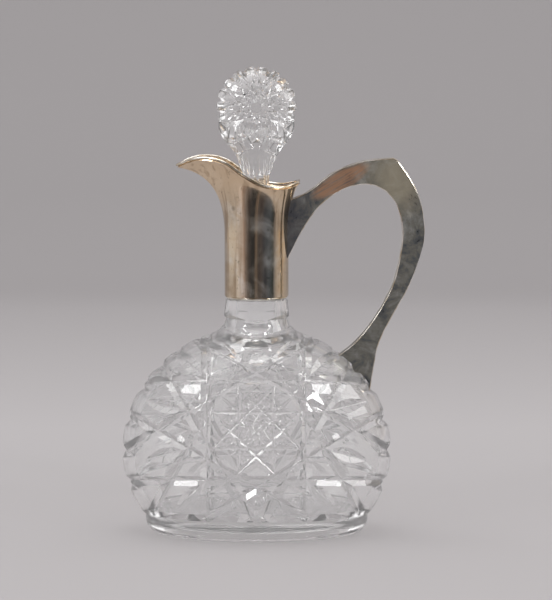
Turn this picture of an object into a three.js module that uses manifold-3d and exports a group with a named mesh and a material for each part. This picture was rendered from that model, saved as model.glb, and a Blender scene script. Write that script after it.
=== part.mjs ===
// Silver-mounted decanter of heavy cut glass, in the form of a flattened claret jug.
//
// Units are millimetres, +Z is up, the origin is the middle of the foot's flat underside.
// The spout points along -X, the handle along +X, and the broad cut faces look along -Y and +Y.
// The glass body, its foot and its neck are one blown and cut piece. The silver collar with its
// spout is bedded on the neck in plaster, the hollow handle is soldered to the collar and bedded on
// the body's shoulder in plaster, and the ground glass stopper lifts out of the neck.

import * as THREE from 'three';
import { mergeVertices } from 'three/addons/utils/BufferGeometryUtils.js';
import Module from 'manifold-3d';

const wasm = await Module();
wasm.setup();

// Glass body: an oval section at every level, widest at bodyMidZ
const bodyHalfWidth = 80;
const bodyHalfDepth = 52;
const bodyMidZ = 48.5;
const bodyRise = 74.5;
const bodyDrop = 68.5;
const bodyWall = 7;

// Foot: a plain oval block with a rounded lower edge and a solid floor above it
const footHalfWidth = 66.2;
const footHeight = 12.4;
const footRound = 8;
const floorThickness = 17;

// Neck: a fillet up from the shoulder, a plain stretch that shows, then a ground stretch inside the
// collar
const neckFootRadius = 26;
const neckFilletRadius = 19.3;
const neckFilletTopZ = 130;
const neckRadius = 18.3;
const neckShoulderZ = 139.6;
const neckLip = 0.5;
const neckGroundRadius = 15.2;
const neckTopZ = 192;
const neckBoreRadius = 11.6;
const boreFootRadius = 19;
const boreFilletTopZ = 124;

// Ground seat of the stopper: a slow taper, wider at the top
const seatBottomZ = 160;
const seatBottomRadius = 9.3;
const seatTaper = 0.05;

// Cut pattern on each broad face: a twelve-pointed star of straight miter cuts
const starZ = 68;
const starPoints = 12;
const starSkip = 4;
const starTipRadius = 59;
const miterDepth = 2.2;
const miterHalfWidth = 3.1;
const cutMargin = 1.2;
const bladeInner = 43.5;
const bladeOuter = 67;
const bladeDepth = 1.9;
const bladeHalfWidth = 4.4;

// An eight-pointed star of finer straight cuts inside the ring of the large one
const innerPoints = 8;
const innerSkip = 3;
const innerTipRadius = 27;
const innerDepth = 1.2;
const innerHalfWidth = 1.8;

// Wide cuts across both narrow ends, which give the outline its rounded bumps
const endCutsZ = [28.9, 49.2, 67.8, 86, 98.3, 108];
const endCutReach = 21;
const endCutDepth = 2.5;
const endCutHalfWidth = 4.8;

// Cuts round the foot of the neck, low at the broad faces and high at the narrow ends, as shares of
// the rise of the neck's fillet
const neckCutLow = 0.06739;
const neckCutHigh = 0.44768;
const neckCutDepth = 1;
const neckCutHalfWidth = 1.9;

// A round hollow on each broad face, above the star
const olivePlace = 45.2;
const oliveRadius = 10.5;
const oliveDepth = 2.6;

// Miter cuts that would cross the hollow run out at its edge, this far from its middle
const miterStopRadius = 9.4;
const miterRunOut = 0.15;

// Two curved cuts that frame the hollow and meet under it, as across and up on the star's drawing
const framePath = [[20.5, 52.5], [15.4, 47], [10.4, 41.2], [5.6, 36.4], [0, 32.6]];
const frameDepth = 1.3;
const frameHalfWidth = 2;

// Star cut under the foot
const baseRays = 16;
const baseRayInner = 6;
const baseRayOuter = 27;
const baseRayDepth = 1;
const baseRayHalfWidth = 1.6;

// Silver collar with its spout, and the wires round its two edges
const collarRadius = 18;
const collarSheet = 1;
const collarSpoutDrop = 4;
const collarBackDrop = 8;
const collarFlareZ = 178;
const rimWireRadius = 0.7;
const footWireRadius = 0.6;
const footWireSetIn = 0.4;
const cementBelowTop = 4;

// Handle: two flat cheeks and two edge strips of sheet
const handleDepth = 11;
const handleSheet = 1;
const handleCementRise = 16;
const handleCementReach = 34;

// Stopper: a flattened cut head, a panelled stem and a ground peg
const headZ = 253.2;
const headRadius = 23.6;
const headHalfDepth = 14.5;
const headScallops = 18;
const headScallopDepth = 1.9;
const headScallopHalfWidth = 2.1;
const headScallopTurn = THREE.MathUtils.degToRad(52);
const headScallopsAboveZ = 240;
const headLines = 12;
const headLineReach = 18.4;
const headLineTurn = THREE.MathUtils.degToRad(75);
const headLineDepth = 0.9;
const headLineHalfWidth = 1.3;
const stemWaistZ = 213;
const stemWaistRadius = 7.9;
const stemPanels = 8;
const stemFlatness = 0.62;
const stemFlattenedRise = 25;
const pegLength = 30;
const pegBelowTop = 0.5;
const pegChamfer = 1;

// The stem's flare from its waist up into the head: how high above the waist, and how much wider
const stemFlare = [
  [0, 0], [3.5, 1.3], [7, 2.5], [10.6, 3.9], [14.2, 5.9], [17.7, 8.7], [21.3, 11.5], [25, 13.5],
  [28.5, 14.4], [33, 13.9], [35, 10],
];

// Clearances
const seatClearance = 0.35;
const fitGap = 0.3;

// Facet counts
const roundSteps = 40;
const smallSteps = 28;
const miterStep = 20;
const collarPlaces = 48;
const collarRows = 6;
const wirePlaces = 56;
const wireSides = 6;

const glassLook = { color: 0xf3f6f5, roughness: 0.03, metalness: 0, transparent: true, opacity: 0.55 };
const silverLook = { color: 0x9a9488, roughness: 0.22, metalness: 1 };
const plasterLook = { color: 0xe6e0d4, roughness: 0.9, metalness: 0 };

const decanter = new THREE.Group();

function addPart(name, geometry, look) {
  geometry.computeVertexNormals();
  const mesh = new THREE.Mesh(geometry, new THREE.MeshStandardMaterial(look));
  mesh.name = name;
  decanter.add(mesh);
}

// Closed meshes and solids

function signedVolume(geometry) {
  const place = geometry.attributes.position;
  const index = geometry.index;
  const corner = [new THREE.Vector3(), new THREE.Vector3(), new THREE.Vector3()];
  let sum = 0;
  for (let i = 0; i < index.count; i += 3) {
    for (let k = 0; k < 3; k++) corner[k].fromBufferAttribute(place, index.getX(i + k));
    sum += corner[0].dot(corner[1].clone().cross(corner[2])) / 6;
  }
  return sum;
}

function welded(geometry) {
  const bare = geometry.clone();
  bare.deleteAttribute('normal');
  bare.deleteAttribute('uv');
  const joined = mergeVertices(bare, 1e-4);
  const flat = [];
  for (let i = 0; i < joined.index.count; i += 3) {
    const [a, b, c] = [0, 1, 2].map((k) => joined.index.getX(i + k));
    if (a !== b && b !== c && c !== a) flat.push(a, b, c);
  }
  joined.setIndex(flat);
  if (signedVolume(joined) < 0) {
    for (let i = 0; i < flat.length; i += 3) [flat[i + 1], flat[i + 2]] = [flat[i + 2], flat[i + 1]];
    joined.setIndex(flat);
  }
  return joined;
}

function solid(geometry) {
  const closed = welded(geometry);
  return new wasm.Manifold(new wasm.Mesh({
    numProp: 3,
    vertProperties: new Float32Array(closed.attributes.position.array),
    triVerts: new Uint32Array(closed.index.array),
  }));
}

function geometryOf(manifold) {
  const mesh = manifold.getMesh();
  const geometry = new THREE.BufferGeometry();
  geometry.setAttribute('position', new THREE.BufferAttribute(mesh.vertProperties, 3));
  geometry.setIndex(new THREE.BufferAttribute(mesh.triVerts, 1));
  return geometry;
}

// A skin over rings of equal length: capped at both ends, or joined end to start
function loft(rings, joined = false) {
  const count = rings[0].length;
  const points = rings.flat().flatMap((p) => [p.x, p.y, p.z]);
  const faces = [];
  const last = joined ? rings.length : rings.length - 1;
  for (let i = 0; i < last; i++) {
    const here = i * count;
    const next = ((i + 1) % rings.length) * count;
    for (let k = 0; k < count; k++) {
      const side = (k + 1) % count;
      faces.push(here + k, here + side, next + side, here + k, next + side, next + k);
    }
  }
  if (!joined) {
    const end = (rings.length - 1) * count;
    for (let k = 1; k < count - 1; k++) {
      faces.push(0, k + 1, k, end, end + k, end + k + 1);
    }
  }
  const geometry = new THREE.BufferGeometry();
  geometry.setAttribute('position', new THREE.Float32BufferAttribute(points, 3));
  geometry.setIndex(faces);
  return geometry;
}

// A turned shape about the Z axis from [radius, z] pairs
function turned(profile, steps) {
  const points = profile.map(([r, z]) => new THREE.Vector2(r, z));
  return new THREE.LatheGeometry(points, steps).rotateX(Math.PI / 2);
}

function arc(centre, radius, from, to, steps) {
  return Array.from({ length: steps + 1 }, (_, i) => {
    const angle = from + ((to - from) * i) / steps;
    return [centre[0] + radius * Math.cos(angle), centre[1] + radius * Math.sin(angle)];
  });
}

// Body form

const neckFootZ = bodyMidZ + bodyRise * Math.sqrt(1 - (neckFootRadius / bodyHalfWidth) ** 2);
const depthRise = (neckFootZ - bodyMidZ) / Math.sqrt(1 - (neckFootRadius / bodyHalfDepth) ** 2);

// Half-axis of the body's section at a level, grown or shrunk by an allowance
function halfAxis(z, half, rise, allowance = 0) {
  const reach = (z > bodyMidZ ? rise : bodyDrop) + allowance;
  const share = Math.min(1, Math.abs(z - bodyMidZ) / reach);
  return (half + allowance) * Math.sqrt(1 - share ** 2);
}

const halfWidthAt = (z) => halfAxis(z, bodyHalfWidth, bodyRise);
const halfDepthAt = (z) => halfAxis(z, bodyHalfDepth, depthRise);

// How much narrower than wide the section is at a level, for the body offset by an allowance
function flatness(z, allowance) {
  if (z <= bodyMidZ) return (bodyHalfDepth + allowance) / (bodyHalfWidth + allowance);
  const wide = halfAxis(z, bodyHalfWidth, bodyRise, allowance);
  const deep = halfAxis(z, bodyHalfDepth, depthRise, allowance);
  return wide > deep ? deep / wide : 1;
}

function drawnIn(geometry, allowance) {
  const place = geometry.attributes.position;
  for (let i = 0; i < place.count; i++) {
    place.setY(i, place.getY(i) * flatness(place.getZ(i), allowance));
  }
  return geometry;
}

// Body profile from a lower to an upper level, with even steps of angle
function bodyProfile(fromZ, toRadius, allowance, steps) {
  const half = bodyHalfWidth + allowance;
  const rise = bodyRise + allowance;
  const drop = bodyDrop + allowance;
  const start = Math.asin((fromZ - bodyMidZ) / drop);
  const end = Math.acos(toRadius / half);
  return Array.from({ length: steps + 1 }, (_, i) => {
    const angle = start + ((end - start) * i) / steps;
    return [half * Math.cos(angle), bodyMidZ + (angle > 0 ? rise : drop) * Math.sin(angle)];
  });
}

// A fillet that goes on from the end of a profile and turns up into a wall
function filletOnto(profile, wall, steps) {
  const [before, end] = profile.slice(-2);
  const slope = (end[1] - before[1]) / (end[0] - before[0]);
  const corner = [wall[0], end[1] + slope * (wall[0] - end[0])];
  const curve = new THREE.QuadraticBezierCurve(...[end, corner, wall].map((p) => new THREE.Vector2(...p)));
  return curve.getPoints(steps).slice(1).map((p) => [p.x, p.y]);
}

const outerSide = bodyProfile(footHeight, neckFootRadius, 0, 10);
const neckFillet = filletOnto(outerSide, [neckFilletRadius, neckFilletTopZ], 5);

const seatRadiusAt = (z) => seatBottomRadius + (z - seatBottomZ) * seatTaper;

function glassOuter() {
  const foot = arc([footHalfWidth - footRound, footRound], footRound, -Math.PI / 2, 0, 4);
  return drawnIn(turned([
    [0, 0],
    ...foot,
    [footHalfWidth, footHeight],
    ...outerSide,
    ...neckFillet,
    [neckRadius, neckShoulderZ - neckLip],
    [neckRadius - neckLip, neckShoulderZ],
    [neckGroundRadius, neckShoulderZ],
    [neckGroundRadius, neckTopZ - 2 * neckLip],
    [neckGroundRadius - 2 * neckLip, neckTopZ],
    [0, neckTopZ],
  ], roundSteps), 0);
}

function glassHollow() {
  const sides = bodyProfile(floorThickness, boreFootRadius, -bodyWall, 9);
  return drawnIn(turned([
    [0, floorThickness],
    ...sides,
    ...filletOnto(sides, [neckBoreRadius, boreFilletTopZ], 4),
    [neckBoreRadius, seatBottomZ - 8],
    [seatBottomRadius, seatBottomZ],
    [seatRadiusAt(neckTopZ + 2), neckTopZ + 2],
    [0, neckTopZ + 2],
  ], smallSteps), -bodyWall);
}

// Cut pattern

const surfaceShare = (p) => (p.x / halfWidthAt(p.z)) ** 2 + (p.y / halfDepthAt(p.z)) ** 2;

function outward(p) {
  const step = 0.05;
  const slope = ['x', 'y', 'z'].map((axis) => {
    const ahead = p.clone();
    const behind = p.clone();
    ahead[axis] += step;
    behind[axis] -= step;
    return surfaceShare(ahead) - surfaceShare(behind);
  });
  return new THREE.Vector3(...slope).normalize();
}

// The point of the surface that a ray from inside the body reaches
function onSurface(from, direction) {
  let near = 0;
  let far = 2 * bodyHalfWidth;
  for (let i = 0; i < 40; i++) {
    const middle = (near + far) / 2;
    const p = from.clone().addScaledVector(direction, middle);
    const inside = p.z < neckFootZ && p.z > bodyMidZ - bodyDrop + 1 && surfaceShare(p) < 1;
    if (inside) near = middle;
    else far = middle;
  }
  return from.clone().addScaledVector(direction, near);
}

// The star is laid out square to the front face at its own centre
const faceCentre = onSurface(new THREE.Vector3(0, 0, starZ), new THREE.Vector3(0, -1, 0));
const faceNormal = outward(faceCentre);
const faceAcross = new THREE.Vector3(1, 0, 0);
const faceUp = faceAcross.clone().cross(faceNormal).negate();

const faceDirection = (angle) => new THREE.Vector3()
  .addScaledVector(faceAcross, Math.cos(angle))
  .addScaledVector(faceUp, Math.sin(angle));

// The point of the front face under a place in the star's flat drawing
function onFace(radius, angle) {
  const start = faceCentre.clone().addScaledVector(faceDirection(angle), radius);
  start.addScaledVector(faceNormal, -bodyHalfDepth);
  return onSurface(start, faceNormal);
}

// A V-shaped cutter along a path on the surface, with a depth and half-width at each point, which
// may be lifted out of the glass by an allowance
function vCutter(path, depthAt, halfWidthAtShare, lift = 0, outAt = outward) {
  const proud = 3;
  const rings = path.map((p, i) => {
    const ahead = path[Math.min(i + 1, path.length - 1)];
    const behind = path[Math.max(i - 1, 0)];
    const along = ahead.clone().sub(behind).normalize();
    const out = outAt(p);
    const across = along.cross(out).normalize();
    const share = i / (path.length - 1);
    const depth = depthAt(share);
    const spread = (halfWidthAtShare(share) * (depth + proud)) / depth;
    const top = p.clone().addScaledVector(out, proud);
    return [
      p.clone().addScaledVector(out, -depth),
      top.clone().addScaledVector(across, spread),
      top.clone().addScaledVector(across, -spread),
    ].map((corner) => corner.addScaledVector(out, lift));
  });
  return solid(loft(rings));
}

// One straight miter cut of the star: the front half of a plane's section of the body
function miterPath(angle, distance) {
  const across = faceDirection(angle);
  const along = faceDirection(angle + Math.PI / 2);
  const middle = faceCentre.clone().addScaledVector(across, distance);
  const centre = middle.clone().addScaledVector(faceNormal, -bodyHalfDepth);
  const olive = onFace(olivePlace, Math.PI / 2);
  const found = [];
  const tries = 240;
  for (let i = 0; i <= tries; i++) {
    const turn = (2 * Math.PI * i) / tries;
    const direction = along.clone().multiplyScalar(Math.sin(turn));
    direction.addScaledVector(faceNormal, -Math.cos(turn));
    const p = onSurface(centre, direction);
    const clear = p.z > footHeight + cutMargin && p.z < neckFootZ - cutMargin;
    if (p.y < 0.6 && clear && p.distanceTo(olive) > miterStopRadius) found.push(p);
  }
  const length = found.slice(1).reduce((sum, p, i) => sum + p.distanceTo(found[i]), 0);
  const steps = Math.max(4, Math.round(length / miterStep));
  return new THREE.CatmullRomCurve3(found).getSpacedPoints(steps);
}

const starLineDistance = starTipRadius * Math.cos((Math.PI * starSkip) / starPoints);
const even = (value) => () => value;

// A miter's depth or half-width, which falls away at an end that stops at the round hollow
function runningOut(path, value) {
  const olive = onFace(olivePlace, Math.PI / 2);
  const stops = [path[0], path.at(-1)].map((end) => end.distanceTo(olive) < oliveRadius);
  return (share) => ((share === 0 && stops[0]) || (share === 1 && stops[1]) ? value * miterRunOut : value);
}

const swelling = (value, least) => (share) => least + (value - least) * Math.sin(Math.PI * share);

function faceCutters() {
  const cutters = [];
  for (let i = 0; i < starPoints; i++) {
    const angle = (2 * Math.PI * i) / starPoints;
    const path = miterPath(angle, starLineDistance);
    cutters.push(vCutter(path, runningOut(path, miterDepth), runningOut(path, miterHalfWidth)));
  }
  for (let i = 0; i < starPoints; i++) {
    const angle = (2 * Math.PI * (i + 0.5)) / starPoints;
    const path = [0, 1, 2, 3, 4].map((k) => onFace(bladeInner + ((bladeOuter - bladeInner) * k) / 4, angle));
    const clear = path.every((p) => p.z > footHeight + cutMargin && p.z < neckFootZ - cutMargin);
    if (clear) cutters.push(vCutter(path, swelling(bladeDepth, 0.2), swelling(bladeHalfWidth, 0.4)));
  }
  for (let i = 0; i < innerPoints; i++) {
    const angle = (2 * Math.PI * i) / innerPoints;
    const turn = (Math.PI * innerSkip) / innerPoints;
    const distance = innerTipRadius * Math.cos(turn);
    const path = [-1, -0.5, 0, 0.5, 1].map((k) => {
      const along = k * innerTipRadius * Math.sin(turn);
      return onFace(Math.hypot(distance, along), angle + Math.atan2(along, distance));
    });
    cutters.push(vCutter(path, swelling(innerDepth, 0.3), swelling(innerHalfWidth, 0.4)));
  }
  for (const side of [-1, 1]) {
    const path = framePath.map(([across, up]) => (
      onFace(Math.hypot(across, up), Math.atan2(up, side * across))
    ));
    cutters.push(vCutter(path, swelling(frameDepth, 0.3), swelling(frameHalfWidth, 0.4)));
  }
  return cutters;
}

// The lift moves the faces of the cuts out by an allowance
function endCutters(allowance = 0) {
  const lift = allowance * Math.hypot(1, endCutDepth / endCutHalfWidth);
  return [-1, 1].flatMap((end) => endCutsZ.map((z) => {
    const wide = halfWidthAt(z);
    const deep = halfDepthAt(z);
    const path = [-1, -0.5, 0, 0.5, 1].map((k) => {
      const y = (k * endCutReach * deep) / bodyHalfDepth;
      return new THREE.Vector3(end * wide * Math.sqrt(1 - (y / deep) ** 2), y, z);
    });
    return vCutter(path, swelling(endCutDepth, 0.3), swelling(endCutHalfWidth, 0.4), lift);
  }));
}

// The neck's foot is a round fillet, so a path on it is a turn round the Z axis at a level
function neckFootCutters() {
  const stops = [[neckFootRadius, neckFootZ], ...neckFillet];
  const radiusAt = (z) => {
    const k = stops.findIndex((stop) => stop[1] >= z);
    return THREE.MathUtils.mapLinear(z, stops[k - 1][1], stops[k][1], stops[k - 1][0], stops[k][0]);
  };
  const outAt = (p) => p.clone().setZ(Math.hypot(p.x, p.y)).normalize();
  const overrun = 0.06;
  const filletRise = neckFilletTopZ - neckFootZ;
  const path = Array.from({ length: 9 }, (_, i) => {
    const turn = (Math.PI / 2 + 2 * overrun) * (i / 8) - overrun;
    const up = neckCutLow + (neckCutHigh - neckCutLow) * Math.abs(Math.sin(turn)) ** 1.2;
    const z = neckFootZ + filletRise * up;
    const radius = radiusAt(z);
    return new THREE.Vector3(radius * Math.sin(turn), -radius * Math.cos(turn), z);
  });
  const right = vCutter(path, even(neckCutDepth), even(neckCutHalfWidth), 0, outAt);
  return [right, right.mirror([1, 0, 0])];
}

// The ball that bites the round hollow out of the front face, as the cap of it that is needed
function oliveCutter() {
  const ball = (oliveRadius ** 2 + oliveDepth ** 2) / (2 * oliveDepth);
  const proud = 2;
  const turn = Math.acos((ball - oliveDepth - proud) / ball);
  const cap = arc([0, ball - oliveDepth], ball, -Math.PI / 2, turn - Math.PI / 2, 5);
  cap[0][0] = 0;
  const place = onFace(olivePlace, Math.PI / 2);
  const upright = new THREE.Quaternion().setFromUnitVectors(new THREE.Vector3(0, 0, 1), outward(place));
  const shape = turned([...cap, [0, cap.at(-1)[1]]], smallSteps).applyQuaternion(upright);
  return solid(shape.translate(place.x, place.y, place.z));
}

function baseRayCutters() {
  return Array.from({ length: baseRays }, (_, i) => {
    const angle = (2 * Math.PI * i) / baseRays;
    const out = new THREE.Vector3(Math.cos(angle), Math.sin(angle), 0);
    const side = new THREE.Vector3(-out.y, out.x, 0);
    const rings = [baseRayInner, baseRayOuter].map((radius, end) => {
      const middle = out.clone().multiplyScalar(radius);
      const depth = end ? 0.1 : baseRayDepth;
      const half = baseRayHalfWidth * (end ? 0.15 : 1);
      const low = middle.clone().setZ(-1);
      const spread = (half * (depth + 1)) / depth;
      return [
        middle.clone().setZ(depth),
        low.clone().addScaledVector(side, spread),
        low.clone().addScaledVector(side, -spread),
      ];
    });
    return solid(loft(rings));
  });
}

function makeGlassBody() {
  const front = [...faceCutters(), ...neckFootCutters(), oliveCutter()];
  const back = front.map((cutter) => cutter.mirror([0, 1, 0]));
  let body = solid(glassOuter());
  const cutters = [...front, ...back, ...endCutters(), ...baseRayCutters()];
  for (const cutter of cutters) body = body.subtract(cutter);
  return body.subtract(solid(glassHollow()));
}

// Collar: the wall's section at each place round it, from the bottom edge up to the rim

const footWireZ = neckShoulderZ + fitGap + footWireRadius;
const collarBottomZ = footWireZ + footWireRadius + fitGap;

const rimHalf = [
  [-46.4, 0, 218],
  [-43.6, 4.6, 219.4],
  [-38, 9.6, 221.8],
  [-29, 14.6, 223],
  [-18.5, 18.6, 220.4],
  [-8, 20.4, 213.4],
  [3, 20.8, 207.2],
  [14, 17.6, 205.6],
  [22, 10, 207.2],
  [25.1, 0, 208.6],
];
const rimPoints = [
  ...rimHalf,
  ...rimHalf.slice(1, -1).reverse().map(([x, y, z]) => [x, -y, z]),
].map(([x, y, z]) => new THREE.Vector3(x, y, z));
const rimCurve = new THREE.CatmullRomCurve3(rimPoints, true);

const rimDropAt = (x) => THREE.MathUtils.mapLinear(
  x, rimHalf[0][0], rimHalf.at(-1)[0], collarSpoutDrop, collarBackDrop,
);

// The wall's line at one place round the rim, moved outwards by an allowance
function collarLine(share, allowance, bottom) {
  const rim = rimCurve.getPointAt(share);
  const reach = Math.hypot(rim.x, rim.y);
  const out = new THREE.Vector3(rim.x, rim.y, 0).normalize();
  const at = (radius, z) => out.clone().multiplyScalar(radius).setZ(z);
  const flare = new THREE.QuadraticBezierCurve3(
    at(collarRadius, collarFlareZ),
    at(collarRadius, rim.z - rimDropAt(rim.x)),
    at(reach, rim.z),
  );
  const line = [at(collarRadius + allowance, bottom)];
  for (let i = 0; i <= collarRows; i++) {
    const slope = flare.getTangent(i / collarRows);
    const normal = at(slope.z, -slope.dot(out)).normalize();
    line.push(flare.getPoint(i / collarRows).addScaledVector(normal, allowance));
  }
  return line;
}

const collarShares = Array.from({ length: collarPlaces }, (_, i) => i / collarPlaces);

function makeCollar() {
  return loft(collarShares.map((share) => [
    ...collarLine(share, 0, collarBottomZ),
    ...collarLine(share, -collarSheet, collarBottomZ).reverse(),
  ]), true);
}

// The space that the collar and its running gap take up, to be cut out of what meets it
function collarKeepOut() {
  const lines = collarShares.map((share) => collarLine(share, fitGap, neckShoulderZ));
  return solid(loft(lines[0].map((_, row) => lines.map((line) => line[row]))));
}

// A round wire laid along a closed path
function wireLoop(path, radius) {
  const curve = new THREE.CatmullRomCurve3(path, true);
  const up = new THREE.Vector3(0, 0, 1);
  return loft(Array.from({ length: wirePlaces }, (_, i) => {
    const middle = curve.getPointAt(i / wirePlaces);
    const along = curve.getTangentAt(i / wirePlaces);
    const side = along.clone().cross(up).normalize();
    const rise = side.clone().cross(along).normalize();
    return Array.from({ length: wireSides }, (_, k) => {
      const angle = (2 * Math.PI * k) / wireSides;
      return middle.clone()
        .addScaledVector(side, radius * Math.cos(angle))
        .addScaledVector(rise, radius * Math.sin(angle));
    });
  }), true);
}

function makeRimWire() {
  return wireLoop(collarShares.map((share) => {
    const [below, rim] = collarLine(share, -collarSheet / 2, collarBottomZ).slice(-2);
    const onward = rim.clone().sub(below).normalize();
    return rim.addScaledVector(onward, rimWireRadius + fitGap);
  }), rimWireRadius);
}

function makeFootWire() {
  const ring = new THREE.TorusGeometry(collarRadius - footWireSetIn, footWireRadius, wireSides, smallSteps);
  return ring.translate(0, 0, footWireZ);
}

function makeNeckCement() {
  const inner = neckGroundRadius + fitGap;
  const outer = collarRadius - collarSheet - fitGap;
  const bottom = neckShoulderZ + fitGap;
  const top = neckTopZ - cementBelowTop;
  return turned([
    [inner, bottom],
    [outer, bottom],
    [outer, top],
    [inner, top],
    [inner, bottom],
  ], smallSteps);
}

// Handle: its side outline as two edge lines, from the collar down to the shoulder of the body

const handleOuterEdge = [
  [10, 197.5], [20.5, 198.6], [31.5, 203.8], [45.2, 214.2], [62.8, 221], [80.6, 222.8],
  [83.4, 221.4], [91.2, 210], [96.6, 198], [99.2, 180], [96.8, 165], [89.5, 145.9],
  [80, 129], [72.4, 113.3], [69.3, 98], [67, 84], [65, 74],
];
const handleInnerEdge = [
  [10, 148], [18.7, 163.7], [27.6, 181.2], [38, 195.4], [50.1, 204], [62, 207.4],
  [71.6, 206], [80, 199.4], [85, 188.3], [86, 174], [82.1, 152.8], [76, 138.6],
  [68, 125.6], [58.5, 114], [50, 107], [42, 101],
];

// The outer edge turns a sharp corner at its top right, so it is two smooth runs
const cornerAt = 6;

function smoothRun(points, stepLength) {
  const curve = new THREE.SplineCurve(points.map(([x, z]) => new THREE.Vector2(x, z)));
  return curve.getSpacedPoints(Math.max(2, Math.round(curve.getLength() / stepLength)));
}

const edgeStep = 7;
const outerRun = [
  ...smoothRun(handleOuterEdge.slice(0, cornerAt), edgeStep),
  ...smoothRun(handleOuterEdge.slice(cornerAt - 1, cornerAt + 1), edgeStep).slice(1),
  ...smoothRun(handleOuterEdge.slice(cornerAt), edgeStep).slice(1),
];
const innerRun = smoothRun(handleInnerEdge, edgeStep);

// A run moved sideways towards the middle of the handle
function movedIn(run, distance, turn) {
  return run.map((p, i) => {
    const along = run[Math.min(i + 1, run.length - 1)].clone().sub(run[Math.max(i - 1, 0)]).normalize();
    return new THREE.Vector2(p.x - turn * along.y * distance, p.y + turn * along.x * distance);
  });
}

// A flat piece in the handle's own plane, between two depths
function handleSlab(outline, nearY, farY) {
  const slab = new THREE.ExtrudeGeometry(new THREE.Shape(outline), {
    depth: farY - nearY, bevelEnabled: false, curveSegments: 1,
  });
  return solid(slab.rotateX(Math.PI / 2).translate(0, farY, 0));
}

// The body and its running gap, with the end cuts that the handle's foot is fitted to
function bodyKeepOut() {
  const grown = bodyProfile(footHeight, neckFootRadius, fitGap, 26);
  const whole = drawnIn(turned([[0, footHeight], ...grown, [0, neckFootZ + fitGap]], roundSteps), fitGap);
  return endCutters(fitGap).reduce((rest, cutter) => rest.subtract(cutter), solid(whole));
}

const keepOuts = [collarKeepOut(), bodyKeepOut()];
const scribed = (piece) => keepOuts.reduce((rest, block) => rest.subtract(block), piece);

const innerHalf = handleDepth / 2 - handleSheet - fitGap;
const handleOutline = [...outerRun, ...innerRun.slice().reverse()];

function makeCheek(side) {
  const faces = [side * (handleDepth / 2 - handleSheet), side * (handleDepth / 2)];
  const [near, far] = faces.sort((a, b) => a - b);
  return scribed(handleSlab(handleOutline, near, far));
}

function makeStrip(run, turn) {
  const inside = movedIn(run, handleSheet, turn);
  return scribed(handleSlab([...run, ...inside.reverse()], -innerHalf, innerHalf));
}

// Plaster that fills the foot of the hollow handle and beds it on the glass, on either side of the
// shoulder's middle
function makeHandleCement() {
  const setIn = handleSheet + fitGap;
  const core = handleSlab([
    ...movedIn(outerRun, setIn, -1),
    ...movedIn(innerRun, setIn, 1).reverse(),
  ], -innerHalf, innerHalf);
  const shoulder = onSurface(
    new THREE.Vector3(0, 0, bodyMidZ),
    new THREE.Vector3(1, 0, 1).normalize(),
  );
  const reach = handleCementRise + fitGap;
  const block = new THREE.BoxGeometry(2 * handleCementReach, handleDepth, 2 * reach)
    .rotateY(Math.PI / 4).translate(shoulder.x, 0, shoulder.z);
  const above = solid(block);
  return scribed(core.intersect(above));
}

// Stopper

const headCentre = new THREE.Vector3(0, 0, headZ);

const headSize = new THREE.Vector3(headRadius, headHalfDepth, headRadius);

// A V-shaped cut over the head, along directions from its centre given on a unit ball
function headCutter(directions, depth, halfWidth) {
  const path = directions.map((direction) => direction.clone().multiply(headSize).add(headCentre));
  const outAt = (p) => p.clone().sub(headCentre).divide(headSize).divide(headSize).normalize();
  return vCutter(path, swelling(depth, 0.3), swelling(halfWidth, 0.4), 0, outAt);
}

// One scallop of the rim, cut across it from face to face
function scallopCutter(angle) {
  const directions = [-1, -0.5, 0, 0.5, 1].map((share) => {
    const turn = share * headScallopTurn;
    const across = Math.cos(turn);
    return new THREE.Vector3(across * Math.cos(angle), Math.sin(turn), across * Math.sin(angle));
  });
  return headCutter(directions, headScallopDepth, headScallopHalfWidth);
}

// One straight line of the star on a broad face of the head
function headLineCutter(angle, face) {
  const [start, end] = [-1, 1].map((side) => {
    const turn = angle + side * headLineTurn;
    return new THREE.Vector2(Math.cos(turn), Math.sin(turn)).multiplyScalar(headLineReach / headRadius);
  });
  const directions = [0, 0.25, 0.5, 0.75, 1].map((share) => {
    const place = start.clone().lerp(end, share);
    return new THREE.Vector3(place.x, face * Math.sqrt(1 - place.lengthSq()), place.y);
  });
  return headCutter(directions, headLineDepth, headLineHalfWidth);
}

function stopperHead() {
  const ball = new THREE.SphereGeometry(1, 28, 12)
    .scale(headRadius, headRadius, headHalfDepth)
    .rotateX(Math.PI / 2)
    .translate(0, 0, headZ);
  let head = solid(ball);
  for (let i = 0; i < headScallops; i++) {
    const angle = Math.PI / 2 + (2 * Math.PI * i) / headScallops;
    const clearOfStem = headZ + headRadius * Math.sin(angle) > headScallopsAboveZ;
    if (clearOfStem) head = head.subtract(scallopCutter(angle));
  }
  for (let i = 0; i < headLines; i++) {
    const angle = (2 * Math.PI * (i + 0.5)) / headLines;
    head = head.subtract(headLineCutter(angle, -1)).subtract(headLineCutter(angle, 1));
  }
  return head;
}

// The stem is panelled, with a flat to the front, and as it widens into the head it gets flatter
function stopperStem() {
  const toCorner = 1 / Math.cos(Math.PI / stemPanels);
  const flare = stemFlare.map(([rise, growth]) => [(stemWaistRadius + growth) * toCorner, stemWaistZ + rise]);
  const stem = turned([[0, flare[0][1] - 2], ...flare, [0, flare.at(-1)[1]]], stemPanels);
  stem.rotateZ(Math.PI / stemPanels);
  const place = stem.attributes.position;
  for (let i = 0; i < place.count; i++) {
    const share = THREE.MathUtils.smoothstep(place.getZ(i), stemWaistZ, stemWaistZ + stemFlattenedRise);
    place.setY(i, place.getY(i) * THREE.MathUtils.lerp(1, stemFlatness, share));
  }
  return solid(stem);
}

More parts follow.
